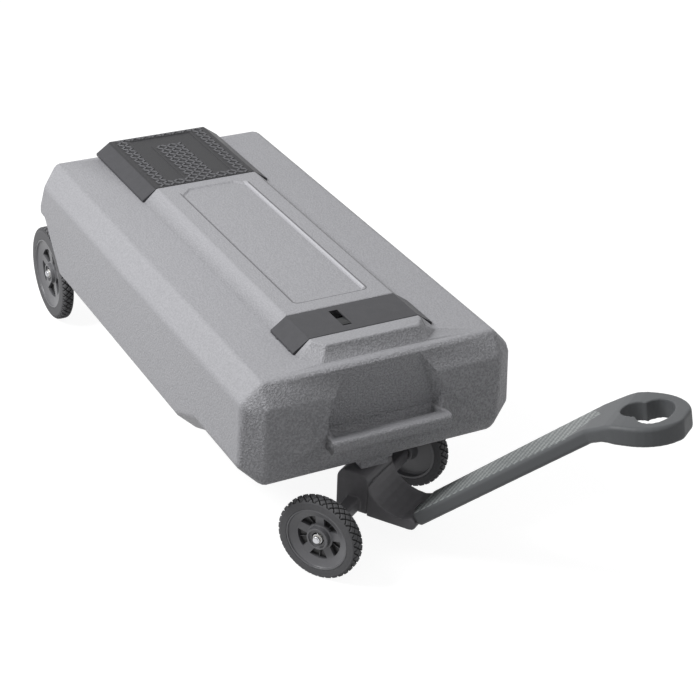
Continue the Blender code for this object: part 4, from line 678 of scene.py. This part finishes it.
def tread_bars(centres, turns, length, width, rise, level):
    """Raised tread bars: boxes with drawn-in tops, their corners at (+-l, +-w) turned about their centres."""
    corner = np.array([(-1, -1), (1, -1), (1, 1), (-1, 1)], float)
    foot = corner * (length / 2, width / 2)
    mid = corner * (length / 2 - rise * 0.5, width / 2 - rise * 0.5)
    top = corner * (length / 2 - rise, width / 2 - rise * 0.8)
    rings = np.stack([foot, mid, top])
    heights = np.array([-0.0004, rise * 0.65, rise])
    c, s = np.cos(turns)[:, None, None], np.sin(turns)[:, None, None]
    x = rings[None, :, :, 0] * c - rings[None, :, :, 1] * s + centres[:, 0][:, None, None]
    y = rings[None, :, :, 0] * s + rings[None, :, :, 1] * c + centres[:, 1][:, None, None]
    z = np.broadcast_to((heights + level)[None, :, None], x.shape)
    points = np.stack([x, y, z], axis=-1).reshape(-1, 3)
    ring_faces = grid_faces(3, 4, False, True)
    faces = [ring_faces, np.array([[8, 9, 10, 11]]), np.array([[3, 2, 1, 0]])]
    one = np.concatenate(faces)
    every = one[None] + 12 * np.arange(len(centres))[:, None, None]
    return points, every.reshape(-1, 4).tolist()


class TANK_OT_step_cover(bpy.types.Operator):
    """Builds the rear step: a hinged cover with tread bars round a smooth band"""
    bl_idname = "tank.step_cover"
    bl_label = "Step cover"

    def execute(self, context):
        low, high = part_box("step_cover")
        front, rear = low.y, min(high.y, STEP_REAR)
        bands = self.bands(front, rear)
        legs = [bands[0][0], bands[0][1], bands[1][0], bands[1][1]]
        edges = [bands[0][2], bands[2][2], bands[2][3]]

        def within(value, start, end):
            return ramp(value, start, BAND_EDGE) * (1 - ramp(value, end, BAND_EDGE))

        def sunk(x, y):
            """How far the skin falls in the two legs and in the bar that joins them at the back.

            Each stretch is the product of a ramp up and down in x and one in y; the greatest of them counts.
            """
            shares = [within(x, x0, x1) * within(y, y0, y1) for x0, x1, y0, y1 in bands]
            return -BAND_DEPTH * np.maximum.reduce(shares)

        def rows(corners, start, end):
            """Places for grid lines: either side of each corner, and nine evenly between the ends."""
            return sorted([corner + d for corner in corners for d in (-BAND_EDGE / 2, BAND_EDGE / 2)] +
                          list(np.linspace(start + 0.006, end - 0.006, 9)))

        ys = rows(edges, front, rear)
        y_rows = [front, front, front + 0.0004, front + 0.0012] + ys
        y_rows += [rear - 0.004, rear - 0.0012, rear - 0.0003, rear]
        shrink = [0.0085, 0.0009, 0.0003, 0.0] + [0.0] * len(ys) + [0.0, 0.0004, 0.0014, 0.0028]
        profile = ridge_profile(low, high, rows(legs, -RIDGE_HALF, RIDGE_HALF))
        skin = profile_grid(profile, y_rows, shrink, sunk)
        wall = skin[-1:].copy()
        wall[..., 2] = low.z
        skin = np.concatenate([skin, wall])
        parts = [
            walled("step_cover_skin", *skin_quads(skin), STEP_WALL),
            self.tread(context.scene.tank_sizes, bands, front, rear, high.z),
        ]
        finished_cover("step_cover_shell", parts, "step", "step_lid", "step_cover")
        return {'FINISHED'}

    def bands(self, front, rear):
        """The smooth band's three stretches as (x from, x to, y from, y to): left leg, right leg, bar."""
        legs = [-RIDGE_HALF + 2 * RIDGE_HALF * share for share in (0.19, 0.33, 0.67, 0.81)]
        leg_end, back_low, back_high = (front + share * (rear - front) for share in (0.105, 0.78, 0.935))
        return [(legs[0], legs[1], leg_end, back_high), (legs[2], legs[3], leg_end, back_high),
                (legs[0], legs[3], back_low, back_high)]

    def tread(self, sizes, bands, front, rear, level):
        """Bars turned to either side by turns, on a square grid that leaves the smooth band free."""
        pitch = sizes.tread_pitch
        columns, lines = np.arange(-12, 13), np.arange(26)
        x, y = np.meshgrid(columns * pitch, front + pitch * (0.62 + lines))
        odd = (columns[None, :] + lines[:, None]) % 2
        clear = pitch * 0.42
        keep = (np.abs(x) < RIDGE_HALF - pitch * 0.45) & (y < rear - pitch * 0.50)
        keep &= y < bands[2][3] + pitch * 0.8
        for x0, x1, y0, y1 in bands:
            keep &= ~((x > x0 - clear) & (x < x1 + clear) & (y > y0 - clear) & (y < y1 + clear))
        turns = np.where(odd[keep] == 0, 1, -1) * math.radians(42)
        centres = np.stack([x[keep], y[keep]], axis=1)
        return tread_bars(centres, turns, pitch * 1.16, pitch * 0.56, sizes.tread_rise, level)


class TANK_OT_gauge_cover(bpy.types.Operator):
    """Builds the front cover with the level gauge's slot and its side clips"""
    bl_idname = "tank.gauge_cover"
    bl_label = "Gauge cover"

    def execute(self, context):
        low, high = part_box("gauge_cover")
        flag_low, flag_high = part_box("level_flag")
        slot_x = (flag_low.x + flag_high.x) / 2
        x0, x1 = slot_x - SLOT_HALF, slot_x + SLOT_HALF
        near = [-0.0004, 0.0]
        xs = sorted([x0 + d for d in near] + [x1 - d for d in near] + list(np.linspace(-0.115, 0.115, 5)))
        ys = sorted([SLOT_FRONT + d for d in near] + [SLOT_REAR - d for d in near])
        y_rows = [low.y, low.y, low.y + 0.0004, low.y + 0.0012] + ys
        y_rows += [high.y - 0.0012, high.y - 0.0004, high.y, high.y]
        shrink = [0.0085, 0.0009, 0.0003, 0.0] + [0.0] * len(ys) + [0.0, 0.0003, 0.0009, 0.0085]
        points, quads = skin_quads(profile_grid(ridge_profile(low, high, xs), y_rows, shrink))
        x, y, z = points[quads].mean(axis=1).T
        in_slot = (x > x0) & (x < x1) & (y > SLOT_FRONT) & (y < SLOT_REAR) & (z > high.z - 0.001)
        parts = [walled("gauge_cover_skin", points, quads[~in_slot], GAUGE_WALL)]
        for side in (-1, 1):
            for y in (low.y + 0.020, high.y - 0.030):
                parts.append(clip_block(side * high.x, y, low.z + 0.0004, side))
        finished_cover("gauge_cover_shell", parts, "cover", "tank", "gauge_cover")
        return {'FINISHED'}


def clip_block(x, y, z, side):
    """A small wedge-shaped catch on a cover's skirt: an outline carried along Y, drawn in at both ends.

    At each end it lies 0.6 mm less far out than in the middle, and is 5 percent less tall.
    """
    long, tall, deep, root = 0.0080, 0.0034, 0.0014, -0.001
    outline = np.array([(root, 0.0), (deep, 0.0), (deep, tall * 0.55), (0.0, tall * 1.15), (root, tall)])
    out, up = outline.T
    share = np.array([-0.5, -0.375, 0.375, 0.5])[:, None]
    inset = np.array([0.0006, 0.0, 0.0, 0.0006])[:, None]
    count = len(outline)
    across = x + side * np.maximum(out - inset, root)
    along = np.broadcast_to(y + share * long, across.shape)
    points = np.stack([across, along, z + up * (1 - inset * 80)], axis=-1).reshape(-1, 3)
    faces = grid_faces(4, count, False, True).tolist()
    faces += [list(range(count))[::-1], [3 * count + i for i in range(count)]]
    if side < 0:
        faces = [f[::-1] for f in faces]
    return points, faces


# Wheels

def wheel_frame(word, hand):
    """A wheel's centre, the turn that takes X to its axle, its radius and its width, from its tyre."""
    def middle(which):
        low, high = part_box(f"{word}_{which}_tyre")
        return (low + high) / 2
    centre = middle(hand)
    axle = (centre - middle("left" if hand == "right" else "right")).normalized()
    mesh = frame["nodes"][f"{word}_{hand}_tyre"].data
    co = np.zeros(len(mesh.vertices) * 3, np.float32)
    mesh.vertices.foreach_get("co", co)
    along = (co.reshape(-1, 3) - np.array(centre)) @ np.array(axle)
    low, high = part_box(f"{word}_{hand}_tyre")
    up = Vector((0, 0, 1))
    turn = Matrix((axle, up.cross(axle), up)).transposed()
    return np.array(centre), np.array(turn), (high.z - low.z) / 2, along.max() - along.min()


def wheel_piece(name, points, faces, place, angle, finish, body, cad_node, groove=None):
    """One piece of a wheel, made about the X axis and then put in its place."""
    centre, turn = place
    mesh = grid_mesh(name, points @ turn.T + centre, faces)
    if groove is None:
        out_facing(mesh)
    else:
        mark(mesh, groove)
    obj = new_object(name, mesh)
    smooth(obj, angle)
    fit(obj, FINISHES[finish], body, [cad_node])


def even_steps(a, r, count):
    """The same open outline with points at even distances along it."""
    length = np.concatenate([[0], np.cumsum(np.hypot(np.diff(a), np.diff(r)))])
    at = np.linspace(0, length[-1], count)
    return np.interp(at, length, a), np.interp(at, length, r)


def tyre_parts(rim, radius, width, pitch, groove):
    """A tyre's skin over angle t and section s.

    Section: a = w/2 |cos s|^0.42 sgn(cos s), r = rim + (R - rim) |sin s|^0.5, closed along the rim.
    Tread: two families of slanted grooves where n t / 2 pi +- a / pitch is near a whole number.
    The sides are set in a little, and a low ring runs round each. Depths along the wall are shares of it.
    """
    side_inset, ring_at, ring_width, ring_rise = 0.0009, 0.62, 0.05, 0.0006
    groove_half, groove_slope, tread_from, tread_fade = 0.075, 0.045, 0.74, 0.08
    count = int(round(2 * math.pi * radius / pitch))
    segments = count * 14
    s = np.linspace(0, math.pi, 161)
    cosine, sine = np.cos(s), np.sin(s)
    a = width / 2 * np.sign(cosine) * np.abs(cosine) ** 0.42
    r = rim + (radius - rim) * np.abs(sine) ** 0.5
    a, r = even_steps(a, r, 72)
    wall = np.clip((r - rim) / (radius - rim), 0, 1)
    ring = np.exp(-((wall - ring_at) / ring_width) ** 2) * ring_rise
    a = a + np.sign(a) * (ring - side_inset)
    t = np.linspace(0, 2 * math.pi, segments, endpoint=False)[None, :]
    a, r, wall = a[:, None], r[:, None], wall[:, None]
    depth = np.zeros((len(a), segments))
    for sign in (1, -1):
        phase = count * t / (2 * math.pi) + sign * a / pitch
        near = np.abs(phase - np.round(phase))
        depth = np.maximum(depth, 1 - np.clip((near - groove_half) / groove_slope, 0, 1))
    tread = np.clip((wall - tread_from) / tread_fade, 0, 1)
    rr = r - groove * depth * tread
    points = np.stack([np.broadcast_to(a, rr.shape), rr * np.cos(t), rr * np.sin(t)], axis=-1)
    return points.reshape(-1, 3), grid_faces(len(a), segments, True, True), (depth * tread).ravel()


def outward(points, faces):
    """The quads of a closed grid, turned round if they enclose a negative volume.

    Volume = sum of (p0 x p1) . p2 over the two triangles of each quad, over 6.
    """
    p0, p1, p2, p3 = (points[faces[:, k]] for k in range(4))
    volume = (np.cross(p0, p1) * p2).sum() + (np.cross(p0, p2) * p3).sum()
    return faces if volume > 0 else faces[:, ::-1]


def rim_parts(rim, width, hub_out, hub_in):
    """A rim as one closed grid: its section (r, a) turned about the axle, with five dark pockets.

    Each of the five sectors runs over u from 0 to 3: half a spoke, a pocket, half a spoke. A spoke keeps
    its width, as its edge lies at the angle asin(w / r). In a pocket a falls by the depth, and by a share of
    it along the pocket's middle, where a low rib runs outwards.
    """
    rib = 0.55
    half, barrel, boss, bore = width / 2 - 0.0012, rim - 0.0005, 0.0235, 0.0132
    slope = barrel - 0.0040
    inner, outer, edge_wide, web_out = 0.0285, 0.70 * barrel, 0.0011, 0.0024
    hub = fillet([(bore, hub_out - 0.004), (boss - 0.0045, hub_out - 0.004), (boss - 0.0042, hub_out),
                  (boss, hub_out), (boss + 0.0010, 0.0030), (inner - 0.0015, web_out), (inner, web_out)],
                 [0.0008, 0.0006, 0.0012, 0.0012, 0.0006], 3)
    web = np.array([(r, web_out + 0.0030 * (r - inner) / (outer - inner)) for r in
                    (inner + edge_wide, (inner + outer) / 2, outer - edge_wide, outer)])
    bowl = fillet([web[-1], (outer + 0.0012, 0.0056), (slope, half - 0.0040), (slope + 0.0006, half),
                   (barrel, half), (barrel, -half), (barrel - 0.005, -half), (barrel - 0.006, -0.0040),
                   (boss + 0.002, -0.0075), (boss - 0.002, hub_in), (bore, hub_in)],
                  [0.0010, 0.0030, 0.0010, 0.0008, 0.0008, 0.0008, 0.002, 0.001, 0.0008], 3)[1:]
    section = np.concatenate([hub, web, bowl])
    sunk = np.zeros(len(section))
    sunk[len(hub):len(hub) + 3] = 1.0
    u = np.concatenate([np.linspace(0, 1, 4), np.linspace(1.05, 1.46, 6), [1.48, 1.52],
                        np.linspace(1.54, 1.95, 6), np.linspace(2, 3, 4)[:-1]])
    pocket = ((u > 1.0) & (u < 2.0)).astype(float)
    pocket[(u > 1.47) & (u < 1.53)] = rib
    step = 2 * math.pi / SPOKES
    r = section[:, 0][:, None]
    edge = np.arcsin(np.clip(SPOKE_HALF / np.maximum(r, inner), 0, 0.9))
    across = edge + (u - 1) * (step - 2 * edge)
    local = np.where(u <= 1, u * edge, np.where(u <= 2, across, step - (3 - u) * edge))
    starts = np.arange(SPOKES) * step
    t = (local[:, None, :] + starts[None, :, None]).reshape(len(section), -1) + math.pi / 2
    deep = sunk[:, None] * np.tile(pocket, SPOKES)[None, :]
    a = section[:, 1][:, None] - POCKET_DEPTH * deep
    points = np.stack([a, r * np.cos(t), r * np.sin(t)], axis=-1).reshape(-1, 3)
    return points, grid_faces(len(section), t.shape[1], True, True), deep.ravel()


def push_nut_parts(foot, crown, radius):
    """A domed push nut on the axle's end: its section turned about the axle.

    It is open at the foot, which lies in the hub, and down to 0.4 mm at the middle of its dome.
    """
    profile = fillet([(radius * 0.5, foot), (radius, foot), (radius, foot + 0.0016),
                      (radius * 0.80, foot + 0.0018), (radius * 0.72, crown - 0.0010),
                      (radius * 0.35, crown + 0.0010), (0.0002, crown + 0.0014)],
                     [0.0003, 0.0004, 0.0006, 0.0016, 0.0020], 3)
    return lathe(profile, 48)


WHEELS = [(word, hand) for word in ("front", "rear") for hand in ("left", "right")]


class TANK_OT_tyres(bpy.types.Operator):
    """Builds the four rubber tyres with their crossed tread grooves"""
    bl_idname = "tank.tyres"
    bl_label = "Tyres"

    def execute(self, context):
        sizes = context.scene.tank_sizes
        for word, hand in WHEELS:
            *place, radius, width = wheel_frame(word, hand)
            rim = radius * RIM_SHARE[word]
            points, faces, groove = tyre_parts(rim, radius, width, sizes.tyre_pitch, sizes.tyre_groove)
            wheel_piece(f"{word}_{hand}_tyre_tread", points, outward(points, faces), place, 40, "tyre",
                        f"{word}_{hand}_wheel", f"{word}_{hand}_tyre", groove)
        return {'FINISHED'}


class TANK_OT_rims(bpy.types.Operator):
    """Builds the four moulded rims and their push nuts"""
    bl_idname = "tank.rims"
    bl_label = "Rims and push nuts"

    def execute(self, context):
        for word, hand in WHEELS:
            *place, radius, width = wheel_frame(word, hand)
            body = f"{word}_{hand}_wheel"
            hub_out = HUB_OUT[word]
            hub_in = hub_out - HUB_LENGTH[word]
            points, faces, dark = rim_parts(radius * RIM_SHARE[word], width, hub_out, hub_in)
            wheel_piece(f"{word}_{hand}_rim_moulding", points, outward(points, faces), place, 35, "rim",
                        body, f"{word}_{hand}_rim", dark)
            points, faces = push_nut_parts(foot=hub_out - 0.0038, crown=hub_out + 0.0045, radius=0.0105)
            wheel_piece(f"{word}_{hand}_push_nut_cap", points, faces, place, 35, "steel",
                        body, f"{word}_{hand}_push_nut")
        return {'FINISHED'}


# Tank, running gear and the rest

class TANK_OT_shell(bpy.types.Operator):
    """Dresses the rotomoulded tank"""
    bl_idname = "tank.shell"
    bl_label = "Tank shell"

    def execute(self, context):
        obj = new_object("tank_shell", merged_copy("tank_body", "tank_shell"))
        smooth(obj, 38)
        crease_above(obj.data, level=0.268, angle=8.0)
        weigh_normals(obj)
        fit(obj, FINISHES["shell"], "tank", ["tank_body"])
        return {'FINISHED'}


class TANK_OT_running_gear(bpy.types.Operator):
    """Builds the soft-edged mouldings of the carrier, tongue and tow bar"""
    bl_idname = "tank.running_gear"
    bl_label = "Carrier, tongue and tow bar"

    def execute(self, context):
        for cad_node, name, body, finish, slot in (
            ("axle_carrier", "carrier_moulding", "steering", "carrier", "carrier_plastic"),
            ("tow_tongue", "tongue_moulding", "steering", "carrier", "carrier_plastic"),
            ("tow_bar", "tow_bar_moulding", "tow_handle", "tow_bar", "tow_plastic"),
        ):
            obj = softened(cad_node, name, voxel=0.0019, rounds=6)
            fit(obj, FINISHES[finish], body, [cad_node])
        return {'FINISHED'}


class TANK_OT_small_parts(bpy.types.Operator):
    """Gives every CAD part that still shows its real finish"""
    bl_idname = "tank.small_parts"
    bl_label = "Axles, fasteners and inner parts"

    def execute(self, context):
        slots = {row["node"]: row["material_slot"] for row in frame["record"]["subparts"]}
        for name, obj in frame["nodes"].items():
            material = FINISHES[SLOT_FINISH[slots[name]]]
            obj.data.materials.clear()
            obj.data.materials.append(material)
        return {'FINISHED'}


def seen_directly(tree):
    """1 on rays from the camera and on mirrored or refracted rays, and 0 on rays that only carry light."""
    path = node(tree, "LightPath")
    rays = [path.outputs[name] for name in ("Is Camera Ray", "Is Glossy Ray", "Is Transmission Ray")]
    either = node(tree, "Math", {0: rays[0], 1: rays[1]}, operation='MAXIMUM')
    return node(tree, "Math", {0: either.outputs[0], 1: rays[2]}, operation='MAXIMUM').outputs[0]


class TANK_OT_stage(bpy.types.Operator):
    """Builds the pale floor, the studio light and the camera"""
    bl_idname = "tank.stage"
    bl_label = "Stage"

    def execute(self, context):
        self.floor()
        self.backdrop(context.scene)
        self.light(context.scene)
        self.camera(context.scene)
        context.scene.view_settings.view_transform = 'Standard'
        return {'FINISHED'}

    def floor(self):
        """A wide floor that keeps the shadow, and that the camera sees as white elsewhere."""
        reach, ground = 9.0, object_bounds()[0].z
        corners = np.array([(-reach, -reach, ground), (reach, -reach, ground), (reach, reach, ground),
                            (-reach, reach, ground)])
        floor = new_object("floor", mesh_of("floor", corners, [[0, 1, 2, 3]]))
        material, tree, shader = new_material("pale_floor", linear("#888888"), 0.95)
        lift = node(tree, "Math", {0: seen_directly(tree), 1: 0.90}, operation='MULTIPLY')
        tree.links.new(lift.outputs[0], shader.inputs["Emission Strength"])
        shader.inputs["Emission Color"].default_value = (1, 1, 1, 1)
        floor.data.materials.append(material)
        floor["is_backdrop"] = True

    def backdrop(self, scene):
        """A white world: full where it is seen, and weaker as light."""
        world = bpy.data.worlds.new("studio")
        scene.world = world
        world.use_nodes = True
        tree = world.node_tree
        background = tree.nodes["Background"]
        level = node(tree, "MapRange", {"Value": seen_directly(tree), "To Min": 0.38, "To Max": 1.0})
        tree.links.new(level.outputs["Result"], background.inputs["Strength"])
        background.inputs["Color"].default_value = (1, 1, 1, 1)

    def light(self, scene):
        """One soft box on the left, near enough for the far side of the tank to be a little darker."""
        toward = Vector(LIGHT_TOWARD)
        lamp = bpy.data.lights.new("key", 'AREA')
        lamp.shape, lamp.size = 'DISK', LIGHT_WIDTH
        lamp.energy = LIGHT_LEVEL * math.pi * LIGHT_DISTANCE ** 2
        obj = bpy.data.objects.new("key", lamp)
        obj.location = toward * LIGHT_DISTANCE + Vector((0, 0, 0.15))
        obj.rotation_mode = 'QUATERNION'
        obj.rotation_quaternion = toward.to_track_quat('Z', 'Y')
        scene.collection.objects.link(obj)

    def camera(self, scene):
        """The photo's camera: it looks along its azimuth and elevation, and is then rolled."""
        azimuth, elevation, roll = (math.radians(a) for a in CAMERA_ANGLES)
        back = Vector((math.sin(azimuth) * math.cos(elevation), -math.cos(azimuth) * math.cos(elevation),
                       math.sin(elevation)))
        right = Vector((0, 0, 1)).cross(back).normalized()
        up = back.cross(right)
        x = math.cos(roll) * right + math.sin(roll) * up
        y = -math.sin(roll) * right + math.cos(roll) * up
        camera = bpy.data.cameras.new("camera")
        camera.sensor_width, camera.lens = 36.0, CAMERA_LENS
        camera.clip_start, camera.clip_end = 0.1, 60.0
        obj = bpy.data.objects.new("camera", camera)
        turn = Matrix((x, y, back)).transposed().to_4x4()
        obj.matrix_world = Matrix.Translation(CAMERA_PLACE) @ turn
        scene.collection.objects.link(obj)
        scene.camera = obj


PIECES = (
    TANK_OT_shell, TANK_OT_gauge_cover, TANK_OT_step_cover, TANK_OT_tyres, TANK_OT_rims,
    TANK_OT_running_gear, TANK_OT_small_parts, TANK_OT_stage,
)


class TANK_PT_panel(bpy.types.Panel):
    """Lists the tank's sizes, colours and pieces"""
    bl_idname = "TANK_PT_panel"
    bl_label = "Waste water tank"
    bl_space_type = 'VIEW_3D'
    bl_region_type = 'UI'
    bl_category = "Water tank"

    def draw(self, context):
        for group in (context.scene.tank_colours, context.scene.tank_sizes):
            for name in group.bl_rna.properties.keys():
                if name not in {"rna_type", "name"}:
                    self.layout.prop(group, name)
        for operator in PIECES:
            self.layout.operator(operator.bl_idname)


CLASSES = (TankColours, TankSizes) + PIECES + (TANK_PT_panel,)


def register():
    for item in CLASSES:
        bpy.utils.register_class(item)
    bpy.types.Scene.tank_colours = PointerProperty(type=TankColours)
    bpy.types.Scene.tank_sizes = PointerProperty(type=TankSizes)


def unregister():
    del bpy.types.Scene.tank_sizes
    del bpy.types.Scene.tank_colours
    for item in reversed(CLASSES):
        bpy.utils.unregister_class(item)


def main():
    register()
    make_finishes(bpy.context.scene.tank_colours, bpy.context.scene.tank_sizes)
    bpy.ops.tank.shell()
    bpy.ops.tank.gauge_cover()
    bpy.ops.tank.step_cover()
    bpy.ops.tank.tyres()
    bpy.ops.tank.rims()
    bpy.ops.tank.running_gear()
    bpy.ops.tank.small_parts()
    bpy.ops.tank.stage()


if __name__ == "__main__":
    main()
